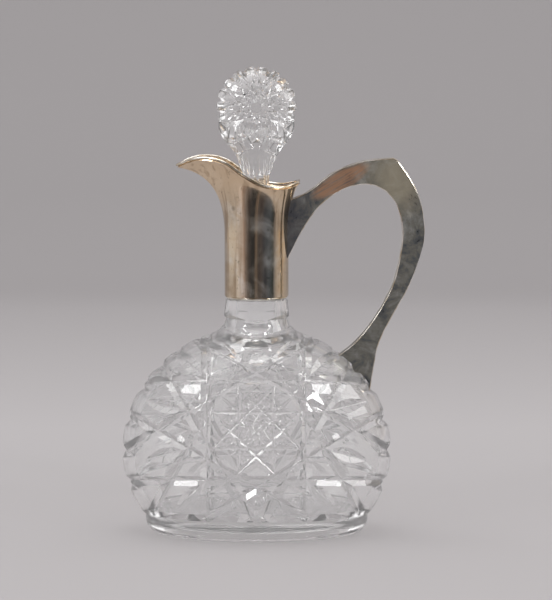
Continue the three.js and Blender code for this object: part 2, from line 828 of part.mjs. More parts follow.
function stopperPeg() {
  const top = neckTopZ - pegBelowTop;
  const bottom = top - pegLength;
  const lowRadius = seatRadiusAt(bottom) - seatClearance;
  return solid(turned([
    [0, bottom],
    [lowRadius - pegChamfer, bottom],
    [lowRadius, bottom + pegChamfer],
    [seatRadiusAt(top) - seatClearance, top],
    [stemWaistRadius - 0.4, top + 5],
    [stemWaistRadius - 0.2, stemWaistZ + 1],
    [0, stemWaistZ + 1],
  ], smallSteps));
}

addPart('glass_body', geometryOf(makeGlassBody()), glassLook);
addPart('neck_cement', welded(makeNeckCement()), plasterLook);
addPart('collar', welded(makeCollar()), silverLook);
addPart('collar_rim_wire', welded(makeRimWire()), silverLook);
addPart('collar_foot_wire', welded(makeFootWire()), silverLook);
addPart('handle_front_cheek', geometryOf(makeCheek(-1)), silverLook);
addPart('handle_rear_cheek', geometryOf(makeCheek(1)), silverLook);
addPart('handle_outer_strip', geometryOf(makeStrip(outerRun, -1)), silverLook);
addPart('handle_inner_strip', geometryOf(makeStrip(innerRun, 1)), silverLook);
addPart('handle_cement', geometryOf(makeHandleCement()), plasterLook);
addPart('stopper', geometryOf(stopperHead().add(stopperStem()).add(stopperPeg())), glassLook);

export default decanter;
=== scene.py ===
# Silver-mounted decanter of heavy cut glass, in the form of a flattened claret jug.
#
# Sizes are in millimetres, as on the drawing, and become metres where corners are placed.
# +Z is up, the spout points along -X, the handle along +X, and the broad cut faces look along
# -Y and +Y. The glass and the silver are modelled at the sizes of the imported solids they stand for.

import math

import bmesh
import bpy
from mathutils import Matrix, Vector
from mathutils.kdtree import KDTree


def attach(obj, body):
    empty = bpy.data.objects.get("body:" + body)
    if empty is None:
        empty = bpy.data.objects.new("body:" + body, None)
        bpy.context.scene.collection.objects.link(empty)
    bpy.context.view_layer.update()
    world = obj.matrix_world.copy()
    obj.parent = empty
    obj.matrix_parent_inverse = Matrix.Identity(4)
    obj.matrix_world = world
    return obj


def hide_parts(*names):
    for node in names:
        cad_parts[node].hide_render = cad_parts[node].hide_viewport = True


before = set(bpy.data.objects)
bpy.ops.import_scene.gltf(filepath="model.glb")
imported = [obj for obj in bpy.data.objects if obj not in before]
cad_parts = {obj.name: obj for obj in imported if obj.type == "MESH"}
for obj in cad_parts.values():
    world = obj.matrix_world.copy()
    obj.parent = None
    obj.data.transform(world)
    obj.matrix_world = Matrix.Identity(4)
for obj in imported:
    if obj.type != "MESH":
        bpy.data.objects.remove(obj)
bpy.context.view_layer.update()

MM = 0.001

# Glass body
BODY_HALF_WIDTH = 80.0
BODY_HALF_DEPTH = 52.0
BODY_MID_Z = 48.5
BODY_RISE = 74.5
BODY_DROP = 68.5
BODY_WALL = 7.0
FOOT_HALF_WIDTH = 66.2
FOOT_HEIGHT = 12.4
FOOT_ROUND = 8.0
FLOOR_THICKNESS = 17.0
NECK_FOOT_RADIUS = 26.0
NECK_FILLET_RADIUS = 19.3
NECK_FILLET_TOP_Z = 130.0
NECK_RADIUS = 18.3
NECK_SHOULDER_Z = 139.6
NECK_LIP = 0.5
NECK_GROUND_RADIUS = 15.2
NECK_TOP_Z = 192.0
NECK_BORE_RADIUS = 11.6
BORE_FOOT_RADIUS = 19.0
BORE_FILLET_TOP_Z = 124.0
SEAT_BOTTOM_Z = 160.0
SEAT_BOTTOM_RADIUS = 9.3
SEAT_TAPER = 0.05
NECK_FOOT_Z = BODY_MID_Z + BODY_RISE * math.sqrt(1 - (NECK_FOOT_RADIUS / BODY_HALF_WIDTH) ** 2)
DEPTH_RISE = (NECK_FOOT_Z - BODY_MID_Z) / math.sqrt(1 - (NECK_FOOT_RADIUS / BODY_HALF_DEPTH) ** 2)

# Cuts of the broad faces: a twelve-pointed star of straight miters, with blades between its points
STAR_Z = 68.0
STAR_POINTS = 12
STAR_STEP = 360 / STAR_POINTS
STAR_TIP_RADIUS = 59.0
STAR_LINE = STAR_TIP_RADIUS * math.cos(math.radians(60))
MITER_SPACING = 3.2
MITER_DEPTH = 2.2
MITER_HALF_WIDTH = 3.1
BLADE_INNER = 43.5
BLADE_OUTER = 67.0
BLADE_DEPTH = 1.9
BLADE_HALF_WIDTH = 4.4
CUT_MARGIN = 1.2
PAST_MIDDLE = 0.6
CUTTER_PROUD = 3.0
WHEEL_EDGE = 0.28

# Finer stars inside it: lines, degrees from one to the next, degrees to the first, radius of the
# tips, half the degrees that a line spans, steps, depth, half-width and how much is left at its ends
FINE_STARS = (
    (8, 45, 0, 27, 67.5, 16, 1.2, 1.8, 0.2),
    (16, 22.5, 11.25, 20, 78.75, 10, 0.75, 1.0, 0.3),
    (8, 22.5, 90, 9.2, 90, 6, 0.6, 0.8, 0.3),
)

# A round hollow above the star, the miters that stop at it, two curved cuts that frame it and meet
# under it, and eight small hollows round the middle of the star
OLIVE_UP = 45.2
OLIVE_RADIUS = 10.5
OLIVE_DEPTH = 2.6
MITER_STOP = 9.4
MITER_RUN_OUT = 0.15
MITER_RISE = 14.0
FRAME_LINE = [(20.5, 52.5), (15.4, 47), (10.4, 41.2), (5.6, 36.4), (0, 32.6)]
FRAME_DEPTH = 1.3
FRAME_HALF_WIDTH = 2.0
SMALL_HOLLOWS = 8
SMALL_HOLLOW_PLACE = 16.6
SMALL_HOLLOW_RADIUS = 2.6
SMALL_HOLLOW_DEPTH = 0.6

# Cuts round the neck's foot, across the narrow ends and under the foot, where each ray is given as
# place, depth and half-width
NECK_CUT_LOW_Z = 119.7
NECK_CUT_RISE = 4.2
NECK_CUT_DEPTH = 1.0
NECK_CUT_HALF_WIDTH = 1.9
NECK_CUT_OVERRUN = 0.06
END_CUTS_Z = (28.9, 49.2, 67.8, 86, 98.3, 108)
END_CUT_REACH = 21.0
END_CUT_DEPTH = 2.5
END_CUT_HALF_WIDTH = 4.8
BASE_RAYS = 16
BASE_RAY = ((6, 1.0, 1.6), (16, 0.9, 1.3), (27, 0.1, 0.24))

# Silver
COLLAR_RADIUS = 18.0
COLLAR_SHEET = 1.0
COLLAR_SPOUT_DROP = 4.0
COLLAR_BACK_DROP = 8.0
COLLAR_FLARE_Z = 178.0
COLLAR_BOTTOM_Z = 141.4
RIM_WIRE_RADIUS = 0.7
FOOT_WIRE_RADIUS = 0.6
FOOT_RING_RADIUS = COLLAR_RADIUS - 0.1
FOOT_RING_Z = 140.8
WALL_STEPS = 8
FLARE_STEPS = 18
HANDLE_DEPTH = 11.0
HANDLE_SHEET = 1.0
CHEEK_ROUNDING = 0.75
STRIP_SET_IN = 0.12
STRIP_SLACK = 0.03
GLASS_FIT = 0.1
COLLAR_FIT = 0.05

# Stopper
HEAD_Z = 253.2
HEAD_RADIUS = 23.6
HEAD_HALF_DEPTH = 14.5
HEAD_SCALLOPS = 18
SCALLOPS_ABOVE_Z = 240.0
SCALLOP_TURN = 52.0
SCALLOP_DEPTH = 1.9
SCALLOP_HALF_WIDTH = 2.1
HEAD_CUTTER_PROUD = 1.5
STEM_WAIST_Z = 213.0
STEM_WAIST_RADIUS = 7.9
STEM_PANELS = 8
STEM_FLATNESS = 0.62
STEM_FLARE = [
    (0, 0), (3.5, 1.3), (7, 2.5), (10.6, 3.9), (14.2, 5.9), (17.7, 8.7), (21.3, 11.5), (25, 13.5),
    (28.5, 14.4), (33, 13.9), (35, 10),
]
FLUTE_LEVELS = range(203, 229, 2)
FLUTE_HALF_WIDTH = 2.5
FLUTE_DEPTH = 0.7
PEG_LENGTH = 30.0
PEG_BELOW_TOP = 0.5
PEG_CHAMFER = 1.0
SEAT_CLEARANCE = 0.35

# Two rings of lines on each face of the head: radius of their tips as a share of the head's, half
# the degrees that a line spans, depth and half-width
HEAD_LINES = 12
HEAD_RINGS = ((0.78, 75, 0.9, 1.3), (0.42, 67.5, 0.6, 0.9))

# Curved cuts of one side under the head, which lead down to the stem: places, depth and half-width
SWAGS = (
    ([(15.5, 232.3), (10.5, 234.6), (3.6, 236)], 0.8, 1.0),
    ([(8.2, 238.2), (5, 234.4), (1.4, 229.4)], 0.8, 1.0),
    ([(3.4, 229.6), (7.8, 226.4), (10.2, 223.6)], 0.6, 0.8),
)


# Modelling by hand: faces and edges drawn out by extrusion, turned shapes, and cuts

def deselect():
    bpy.ops.object.select_all(action="DESELECT")


def named(name):
    ob = bpy.context.object
    ob.name = ob.data.name = name
    return ob


def move_corners(ob, before, after):
    """Moves each selected corner from its place in one list to its place in the next."""
    bm = bmesh.from_edit_mesh(ob.data)
    tree = KDTree(len(before))
    for i, place in enumerate(before):
        tree.insert(place, i)
    tree.balance()
    for corner in [v for v in bm.verts if v.select]:
        corner.co = Vector(after[tree.find(corner.co)[1]])
    bmesh.update_edit_mesh(ob.data)


def drawn(name, rows, filled=True):
    """A face, or a bare loop of edges, drawn through rows of corners by extrusion."""
    rows = [[Vector(p) * MM for p in row] for row in rows]
    count = len(rows[0])
    deselect()
    bpy.ops.mesh.primitive_circle_add(
        vertices=count, radius=1, fill_type="NGON" if filled else "NOTHING"
    )
    ob = named(name)
    bpy.ops.object.mode_set(mode="EDIT")
    start = [v.co.copy() for v in bmesh.from_edit_mesh(ob.data).verts]
    move_corners(ob, start, rows[0])
    for before, after in zip(rows, rows[1:]):
        bpy.ops.mesh.extrude_region_move()
        move_corners(ob, before, after)
    bpy.ops.mesh.select_all(action="SELECT")
    bpy.ops.mesh.normals_make_consistent(inside=False)
    bpy.ops.object.mode_set(mode="OBJECT")
    return ob


def turned(name, profile, steps, allowance=None):
    """A line of [radius, height] corners, drawn by extrusion and spun about the Z axis."""
    deselect()
    bpy.ops.mesh.primitive_plane_add(size=MM)
    ob = named(name)
    bpy.ops.object.mode_set(mode="EDIT")
    bpy.ops.mesh.select_mode(type="VERT")
    bpy.ops.mesh.merge(type="CENTER")
    here = Vector((0, 0, 0))
    for i, (radius, height) in enumerate(profile):
        there = Vector((radius * MM, 0, height * MM))
        step = tuple(there - here)
        if i == 0:
            bpy.ops.transform.translate(value=step)
        else:
            bpy.ops.mesh.extrude_vertices_move(TRANSFORM_OT_translate={"value": step})
        here = there
    bpy.ops.mesh.select_all(action="SELECT")
    bpy.ops.mesh.spin(steps=steps, angle=math.tau, center=(0, 0, 0), axis=(0, 0, 1))
    bpy.ops.mesh.select_all(action="SELECT")
    bpy.ops.mesh.remove_doubles(threshold=1e-6)
    bpy.ops.mesh.normals_make_consistent(inside=False)
    bpy.ops.object.mode_set(mode="OBJECT")
    if allowance is not None:
        for corner in ob.data.vertices:
            corner.co.y *= flatness(corner.co.z / MM, allowance)
    return ob


def carry_out(ob, kind, **settings):
    """Adds a modifier to a piece and applies it."""
    change = ob.modifiers.new(kind.lower(), kind)
    for key, value in settings.items():
        setattr(change, key, value)
    deselect()
    ob.select_set(True)
    bpy.context.view_layer.objects.active = ob
    bpy.ops.object.modifier_apply(modifier=change.name)


def combine(ob, others, operation="DIFFERENCE"):
    """Cuts the other shapes out of a piece, or joins them to it, and clears them away."""
    for other in others:
        carry_out(ob, "BOOLEAN", operation=operation, solver="MANIFOLD", object=other)
        bpy.data.objects.remove(other)


def shaded(ob, degrees):
    deselect()
    ob.select_set(True)
    bpy.context.view_layer.objects.active = ob
    bpy.ops.object.shade_smooth_by_angle(angle=math.radians(degrees))


def polished(ob):
    """Keeps broad facets flat to the eye and lets the narrow bands beside them round the light off."""
    carry_out(ob, "WEIGHTED_NORMAL", mode="FACE_AREA", weight=50, keep_sharp=True)


def arc(centre, radius, start, end, steps):
    angles = [start + (end - start) * i / steps for i in range(steps + 1)]
    return [(centre[0] + radius * math.cos(a), centre[1] + radius * math.sin(a)) for a in angles]


# Form of the body

def half_axis(z, half, rise, allowance=0.0):
    """Half-axis of the oval section at a level."""
    reach = (rise if z > BODY_MID_Z else BODY_DROP) + allowance
    share = min(1.0, abs(z - BODY_MID_Z) / reach)
    return (half + allowance) * math.sqrt(1 - share * share)


def flatness(z, allowance):
    """How much narrower than wide the section is at a level."""
    if z <= BODY_MID_Z:
        return (BODY_HALF_DEPTH + allowance) / (BODY_HALF_WIDTH + allowance)
    wide = half_axis(z, BODY_HALF_WIDTH, BODY_RISE, allowance)
    deep = half_axis(z, BODY_HALF_DEPTH, DEPTH_RISE, allowance)
    return deep / wide if wide > deep else 1.0


def body_profile(from_z, to_radius, allowance, steps):
    half = BODY_HALF_WIDTH + allowance
    start = math.asin((from_z - BODY_MID_Z) / (BODY_DROP + allowance))
    end = math.acos(to_radius / half)
    line = []
    for i in range(steps + 1):
        angle = start + (end - start) * i / steps
        reach = (BODY_RISE if angle > 0 else BODY_DROP) + allowance
        line.append((half * math.cos(angle), BODY_MID_Z + reach * math.sin(angle)))
    return line


def fillet_onto(profile, wall, steps):
    """A fillet that goes on from the end of a profile and turns up into a wall."""
    before, end = profile[-2:]
    slope = (end[1] - before[1]) / (end[0] - before[0])
    corner = (wall[0], end[1] + slope * (wall[0] - end[0]))
    line = []
    for i in range(1, steps + 1):
        t = i / steps
        ends = zip(end, corner, wall)
        line.append([(1 - t) ** 2 * a + 2 * t * (1 - t) * b + t * t * c for a, b, c in ends])
    return line


BODY_STEPS = 56
OUTER_SIDE = body_profile(FOOT_HEIGHT, NECK_FOOT_RADIUS, 0, BODY_STEPS)
NECK_FILLET = fillet_onto(OUTER_SIDE, (NECK_FILLET_RADIUS, NECK_FILLET_TOP_Z), 14)


def seat_radius(z):
    return SEAT_BOTTOM_RADIUS + (z - SEAT_BOTTOM_Z) * SEAT_TAPER


def surface_share(p):
    """1 on the body's surface, less inside it and more outside."""
    wide = half_axis(p.z, BODY_HALF_WIDTH, BODY_RISE) + 1e-6
    deep = half_axis(p.z, BODY_HALF_DEPTH, DEPTH_RISE) + 1e-6
    return (p.x / wide) ** 2 + (p.y / deep) ** 2


def outward(p):
    """The direction square to the body's surface at a point."""
    slope = []
    for axis in range(3):
        ahead, behind = p.copy(), p.copy()
        ahead[axis] += 0.05
        behind[axis] -= 0.05
        slope.append(surface_share(ahead) - surface_share(behind))
    return Vector(slope).normalized()


def on_surface(start, direction):
    """The point of the body's surface that a line from inside it reaches."""
    near, far = 0.0, 2 * BODY_HALF_WIDTH
    for _ in range(30):
        middle = (near + far) / 2
        p = start + direction * middle
        if BODY_MID_Z - BODY_DROP + 1 < p.z < NECK_FOOT_Z and surface_share(p) < 1:
            near = middle
        else:
            far = middle
    return start + direction * near


FACE_CENTRE = on_surface(Vector((0, 0, STAR_Z)), Vector((0, -1, 0)))
FACE_NORMAL = outward(FACE_CENTRE)
FACE_ACROSS = Vector((1, 0, 0))
FACE_UP = FACE_NORMAL.cross(FACE_ACROSS)


def on_face(across, up):
    """The point of the front face under a place in the flat drawing of its cuts."""
    start = FACE_CENTRE + FACE_ACROSS * across + FACE_UP * up - FACE_NORMAL * BODY_HALF_DEPTH
    return on_surface(start, FACE_NORMAL)


def polar(radius, degrees):
    angle = math.radians(degrees)
    return radius * math.cos(angle), radius * math.sin(angle)


def round_the_body(degrees, distance, spacing):
    """A straight cut's line: the front half of a plane's section of the body."""
    across, along = polar(1, degrees), polar(1, degrees + 90)
    middle = FACE_CENTRE + (FACE_ACROSS * across[0] + FACE_UP * across[1]) * distance
    along = FACE_ACROSS * along[0] + FACE_UP * along[1]
    centre = middle - FACE_NORMAL * BODY_HALF_DEPTH
    olive = on_face(0, OLIVE_UP)
    found = []
    for i in range(241):
        turn = math.tau * i / 240
        p = on_surface(centre, along * math.sin(turn) - FACE_NORMAL * math.cos(turn))
        clear = FOOT_HEIGHT + CUT_MARGIN < p.z < NECK_FOOT_Z - CUT_MARGIN
        if p.y < PAST_MIDDLE and clear and (p - olive).length > MITER_STOP:
            found.append(p)
    line, passed = [found[0]], 0.0
    for p, q in zip(found, found[1:]):
        passed += (q - p).length
        if passed >= spacing:
            line.append(q)
            passed = 0.0
    if line[-1] is not found[-1]:
        line.append(found[-1])
    return line


def between(start, end, steps):
    """A short cut's line between two places in the flat drawing."""
    line = []
    for i in range(steps + 1):
        share = i / steps
        line.append(on_face(*(a + (b - a) * share for a, b in zip(start, end))))
    return line


def groove(line, depth, half_width, end_share=1.0, lift=0.0, outward_at=outward, fade=None):
    """Rows of a V-shaped wheel's path, which may rise out of the glass towards its ends.

    The wheel's edge is a little blunt, so the bottom of the cut is a narrow band that catches light.
    """
    rows = []
    for i, p in enumerate(line):
        along = (line[min(i + 1, len(line) - 1)] - line[max(i - 1, 0)]).normalized()
        out = outward_at(p)
        side = along.cross(out).normalized()
        swell = end_share + (1 - end_share) * math.sin(math.pi * i / (len(line) - 1))
        if fade:
            swell *= fade(p)
        deep, wide = depth * swell, half_width * swell
        spread = wide * (deep + CUTTER_PROUD) / deep
        slope = wide / deep
        top = p + out * CUTTER_PROUD
        corners = [
            top - side * spread,
            *(p - out * (deep - edge * WHEEL_EDGE) + side * (across * WHEEL_EDGE * slope)
              for across, edge in ((-1, 1), (-0.4, 0.55), (0.4, 0.55), (1, 1))),
            top + side * spread,
        ]
        rows.append([corner + out * lift for corner in corners])
    return rows


def stopped_at_olive(line):
    """How a miter runs out where it meets the round hollow, for the lines that end there."""
    olive = on_face(0, OLIVE_UP)
    if min((line[0] - olive).length, (line[-1] - olive).length) > OLIVE_RADIUS:
        return None
    return lambda p: min(1.0, MITER_RUN_OUT + ((p - olive).length - MITER_STOP) / MITER_RISE)


def half_upwards(p):
    return Vector((p.x, p.y, math.hypot(p.x, p.y))).normalized()


def neck_foot_groove():
    """A cut round a quarter of the neck's foot, low at the broad face and high at the narrow end."""
    stops = [(NECK_FOOT_RADIUS, NECK_FOOT_Z), *NECK_FILLET]
    line = []
    for i in range(29):
        turn = (math.pi / 2 + 2 * NECK_CUT_OVERRUN) * i / 28 - NECK_CUT_OVERRUN
        z = NECK_CUT_LOW_Z + NECK_CUT_RISE * abs(math.sin(turn)) ** 1.2
        k = next(k for k, stop in enumerate(stops) if stop[1] >= z)
        share = (z - stops[k - 1][1]) / (stops[k][1] - stops[k - 1][1])
        radius = stops[k - 1][0] + (stops[k][0] - stops[k - 1][0]) * share
        line.append(Vector((radius * math.sin(turn), -radius * math.cos(turn), z)))
    return groove(line, NECK_CUT_DEPTH, NECK_CUT_HALF_WIDTH, outward_at=half_upwards)


def face_grooves():
    """Every V-shaped cut of the front face."""
    cuts = []
    for i in range(STAR_POINTS):
        line = round_the_body(STAR_STEP * i, STAR_LINE, MITER_SPACING)
        cuts.append(groove(line, MITER_DEPTH, MITER_HALF_WIDTH, fade=stopped_at_olive(line)))
    for side in (-1, 1):
        path = smooth_line([(across * side, up) for across, up in FRAME_LINE], 13)
        cuts.append(groove([on_face(p.x, p.y) for p in path], FRAME_DEPTH, FRAME_HALF_WIDTH, 0.3))
    for i in range(STAR_POINTS):
        degrees = STAR_STEP * (i + 0.5)
        line = between(polar(BLADE_INNER, degrees), polar(BLADE_OUTER, degrees), 12)
        if all(FOOT_HEIGHT + CUT_MARGIN < p.z < NECK_FOOT_Z - CUT_MARGIN for p in line):
            cuts.append(groove(line, BLADE_DEPTH, BLADE_HALF_WIDTH, 0.12))
    for count, step, first, radius, half, steps, depth, half_width, end_share in FINE_STARS:
        for i in range(count):
            middle = first + step * i
            line = between(polar(radius, middle - half), polar(radius, middle + half), steps)
            cuts.append(groove(line, depth, half_width, end_share))
    right = neck_foot_groove()
    cuts.append(right)
    cuts.append([[Vector((-p.x, p.y, p.z)) for p in row] for row in right])
    return cuts


def end_grooves(allowance=0.0):
    """The wide cuts across the two narrow ends, which give the outline its rounded bumps."""
    lift = allowance * math.hypot(1, END_CUT_DEPTH / END_CUT_HALF_WIDTH)
    cuts = []
    for end in (-1, 1):
        for z in END_CUTS_Z:
            wide = half_axis(z, BODY_HALF_WIDTH, BODY_RISE)
            deep = half_axis(z, BODY_HALF_DEPTH, DEPTH_RISE)
            line = []
            for k in range(15):
                y = END_CUT_REACH * (k / 7 - 1) * deep / BODY_HALF_DEPTH
                line.append(Vector((end * wide * math.sqrt(1 - (y / deep) ** 2), y, z)))
            cuts.append(groove(line, END_CUT_DEPTH, END_CUT_HALF_WIDTH, 0.12, lift))
    return cuts


def punty(place, radius, depth):
    """A round wheel-cut hollow: the ball that bites it out of the surface."""
    out = outward(place)
    ball = (radius * radius + depth * depth) / (2 * depth)
    middle = (place + out * (ball - depth)) * MM
    deselect()
    bpy.ops.mesh.primitive_uv_sphere_add(
        segments=64, ring_count=40, radius=ball * MM, location=middle)
    bpy.ops.object.transform_apply(location=True, rotation=False, scale=False)
    return named("punty_cutter")


def round_hollows():
    """Places on the front face, radii and depths of the round cuts."""
    cuts = [(on_face(0, OLIVE_UP), OLIVE_RADIUS, OLIVE_DEPTH)]
    for i in range(SMALL_HOLLOWS):
        place = on_face(*polar(SMALL_HOLLOW_PLACE, 360 / SMALL_HOLLOWS * (i + 0.5)))
        cuts.append((place, SMALL_HOLLOW_RADIUS, SMALL_HOLLOW_DEPTH))
    return cuts


def base_grooves():
    """The sixteen rays of the star cut under the foot."""
    cuts = []
    for i in range(BASE_RAYS):
        turn = math.tau * i / BASE_RAYS
        out = Vector((math.cos(turn), math.sin(turn), 0))
        side = Vector((-math.sin(turn), math.cos(turn), 0))
        rows = []
        for radius, depth, half_width in BASE_RAY:
            low = out * radius - Vector((0, 0, 1))
            spread = half_width * (depth + 1) / depth
            rows.append([out * radius + Vector((0, 0, depth)), low + side * spread, low - side * spread])
        cuts.append(rows)
    return cuts


def mirrored(rows):
    return [[Vector((p.x, -p.y, p.z)) for p in row] for row in rows]


def cut_glass_body():
    foot = arc((FOOT_HALF_WIDTH - FOOT_ROUND, FOOT_ROUND), FOOT_ROUND, -math.pi / 2, 0, 10)
    outer = [
        (0, 0), (FOOT_HALF_WIDTH * 0.5, 0), *foot, (FOOT_HALF_WIDTH, FOOT_HEIGHT),
        *OUTER_SIDE, *NECK_FILLET, (NECK_RADIUS, NECK_SHOULDER_Z - NECK_LIP),
        (NECK_RADIUS - NECK_LIP, NECK_SHOULDER_Z), (NECK_GROUND_RADIUS, NECK_SHOULDER_Z),
        (NECK_GROUND_RADIUS, NECK_TOP_Z - 2 * NECK_LIP),
        (NECK_GROUND_RADIUS - 2 * NECK_LIP, NECK_TOP_Z), (0, NECK_TOP_Z),
    ]
    inner_side = body_profile(FLOOR_THICKNESS, BORE_FOOT_RADIUS, -BODY_WALL, 48)
    inner = [
        (0, FLOOR_THICKNESS), *inner_side,
        *fillet_onto(inner_side, (NECK_BORE_RADIUS, BORE_FILLET_TOP_Z), 12),
        (NECK_BORE_RADIUS, SEAT_BOTTOM_Z - 8), (SEAT_BOTTOM_RADIUS, SEAT_BOTTOM_Z),
        (seat_radius(NECK_TOP_Z + 2), NECK_TOP_Z + 2), (0, NECK_TOP_Z + 2),
    ]
    body = turned("cut_glass_body", outer, 224, 0.0)
    cuts = face_grooves()
    cuts += [mirrored(rows) for rows in cuts] + end_grooves() + base_grooves()
    combine(body, [drawn("wheel", rows) for rows in cuts])
    for y_sign in (1, -1):
        for place, radius, depth in round_hollows():
            place = Vector((place.x, place.y * y_sign, place.z))
            combine(body, [punty(place, radius, depth)])
    combine(body, [turned("hollow", inner, 128, -BODY_WALL)])
    return body


# Silver collar, its wires and the handle

RIM_HALF = [
    (-46.4, 0, 218), (-43.6, 4.6, 219.4), (-38, 9.6, 221.8), (-29, 14.6, 223), (-18.5, 18.6, 220.4),
    (-8, 20.4, 213.4), (3, 20.8, 207.2), (14, 17.6, 205.6), (22, 10, 207.2), (25.1, 0, 208.6),
]
HANDLE_OUTER = [
    (10, 197.5), (20.5, 198.6), (31.5, 203.8), (45.2, 214.2), (62.8, 221), (80.6, 222.8),
    (83.4, 221.4), (91.2, 210), (96.6, 198), (99.2, 180), (96.8, 165), (89.5, 145.9),
    (80, 129), (72.4, 113.3), (69.3, 98), (67, 84), (65, 74),
]
HANDLE_CORNER = 6
HANDLE_INNER = [
    (10, 148), (18.7, 163.7), (27.6, 181.2), (38, 195.4), (50.1, 204), (62, 207.4),
    (71.6, 206), (80, 199.4), (85, 188.3), (86, 174), (82.1, 152.8), (76, 138.6),
    (68, 125.6), (58.5, 114), (50, 107), (42, 101),
]


def smooth_line(corners, count, closed=False):
    """Evenly spaced points of a curve that passes through the corners."""
    corners = [Vector(c).to_3d() for c in corners]
    last = len(corners) - 1
    fine = []
    for i in range(len(corners) if closed else last):
        if closed:
            p = [corners[(i + k) % len(corners)] for k in (-1, 0, 1, 2)]
            gaps = [(b - a).length ** 0.5 for a, b in zip(p, p[1:])]
        else:
            p = [corners[min(max(i + k, 0), last)] for k in (-1, 0, 1, 2)]
            gaps = [1.0, 1.0, 1.0]
        steps = [b - a for a, b in zip(p, p[1:])]
        leave = (steps[0] / gaps[0] - (p[2] - p[0]) / (gaps[0] + gaps[1]) + steps[1] / gaps[1]) * gaps[1]
        reach = (steps[1] / gaps[1] - (p[3] - p[1]) / (gaps[1] + gaps[2]) + steps[2] / gaps[2]) * gaps[1]
        for n in range(40):
            t = n / 40
            fine.append(
                p[1] * (2 * t ** 3 - 3 * t * t + 1) + leave * (t ** 3 - 2 * t * t + t)
                + p[2] * (3 * t * t - 2 * t ** 3) + reach * (t ** 3 - t * t)
            )
    fine.append(corners[0] if closed else corners[-1])
    passed = [0.0]
    for a, b in zip(fine, fine[1:]):
        passed.append(passed[-1] + (b - a).length)
    line, k = [], 0
    for n in range(count):
        want = passed[-1] * n / (count if closed else count - 1)
        while k < len(fine) - 2 and passed[k + 1] < want:
            k += 1
        share = (want - passed[k]) / max(passed[k + 1] - passed[k], 1e-9)
        line.append(fine[k].lerp(fine[k + 1], min(share, 1.0)))
    return line


PLACES = 160
RIM = smooth_line(RIM_HALF + [(x, -y, z) for x, y, z in RIM_HALF[-2:0:-1]], PLACES, closed=True)


def collar_line(rim, allowance, bottom):
    """The wall's line at one place round it, from the foot of the collar up to the rim."""
    reach = math.hypot(rim.x, rim.y)
    out = Vector((rim.x, rim.y, 0)) / reach
    drop = COLLAR_SPOUT_DROP + (COLLAR_BACK_DROP - COLLAR_SPOUT_DROP) * (
        (rim.x - RIM_HALF[0][0]) / (RIM_HALF[-1][0] - RIM_HALF[0][0]))
    ends = [(COLLAR_RADIUS, COLLAR_FLARE_Z), (COLLAR_RADIUS, rim.z - drop), (reach, rim.z)]
    line = []
    for k in range(WALL_STEPS):
        z = bottom + (COLLAR_FLARE_Z - bottom) * k / WALL_STEPS
        line.append(out * (COLLAR_RADIUS + allowance) + Vector((0, 0, z)))
    for k in range(FLARE_STEPS + 1):
        t = k / FLARE_STEPS
        radius, z = (
            (1 - t) ** 2 * a + 2 * t * (1 - t) * b + t * t * c for a, b, c in zip(*ends))
        run, climb = (
            (1 - t) * (b - a) + t * (c - b) for a, b, c in zip(*ends))
        length = math.hypot(run, climb)
        radius += allowance * climb / length
        line.append(out * radius + Vector((0, 0, z - allowance * run / length)))
    return line


def collar_loops(allowance, bottom):
    """Closed loops up the wall of the collar, grown or shrunk by an allowance."""
    lines = [collar_line(rim, allowance, bottom) for rim in RIM]
    return [[line[row] for line in lines] for row in range(len(lines[0]))]


def raised_collar():
    """One raised sheet: drawn up loop by loop, then given the sheet's thickness inwards."""
    collar = drawn("raised_collar", collar_loops(0, COLLAR_BOTTOM_Z), filled=False)
    carry_out(collar, "SOLIDIFY", thickness=COLLAR_SHEET * MM, offset=-1.0, use_even_offset=True)
    return collar


def wire_round(name, path, radius, sides):
    """A round wire bent to a closed path."""
    deselect()
    bpy.ops.mesh.primitive_torus_add(
        major_segments=len(path), minor_segments=sides, major_radius=1, minor_radius=0.1)
    wire = named(name)
    for i, middle in enumerate(path):
        along = (path[(i + 1) % len(path)] - path[i - 1]).normalized()
        side = along.cross(Vector((0, 0, 1))).normalized()
        rise = side.cross(along)
        for k in range(sides):
            angle = math.tau * k / sides
            place = middle + (side * math.cos(angle) + rise * math.sin(angle)) * radius
            wire.data.vertices[i * sides + k].co = place * MM
    bpy.ops.object.mode_set(mode="EDIT")
    bpy.ops.mesh.select_all(action="SELECT")
    bpy.ops.mesh.normals_make_consistent(inside=False)
    bpy.ops.object.mode_set(mode="OBJECT")
    return wire


def rim_wire_path():
    path = []
    for rim in RIM:
        below, top = collar_line(rim, -COLLAR_SHEET / 2, COLLAR_BOTTOM_Z)[-2:]
        path.append(top + (top - below).normalized() * RIM_WIRE_RADIUS)
    return path


def foot_wire_path():
    turns = [math.tau * i / 120 for i in range(120)]
    return [
        Vector((FOOT_RING_RADIUS * math.cos(a), FOOT_RING_RADIUS * math.sin(a), FOOT_RING_Z))
        for a in turns
    ]


def moved_in(run, distance, turn):
    """A line beside a run of the handle's edge, to its left or right."""
    line = []
    for i, p in enumerate(run):
        along = (run[min(i + 1, len(run) - 1)] - run[max(i - 1, 0)]).normalized()
        line.append(Vector((p.x - turn * along.y * distance, p.y + turn * along.x * distance, 0)))
    return line


def edge_run(corners, spacing):
    length = sum((Vector(b) - Vector(a)).length for a, b in zip(corners, corners[1:]))
    return smooth_line(corners, max(3, round(length / spacing)))


OUTER_RUN = (
    edge_run(HANDLE_OUTER[:HANDLE_CORNER], 2)
    + edge_run(HANDLE_OUTER[HANDLE_CORNER - 1:HANDLE_CORNER + 1], 2)[1:]
    + edge_run(HANDLE_OUTER[HANDLE_CORNER:], 2)[1:]
)
INNER_RUN = edge_run(HANDLE_INNER, 2)


def handle_plate(name, outline, near, far):
    return drawn(name, [[(p.x, y, p.y) for p in outline] for y in (near, far)])


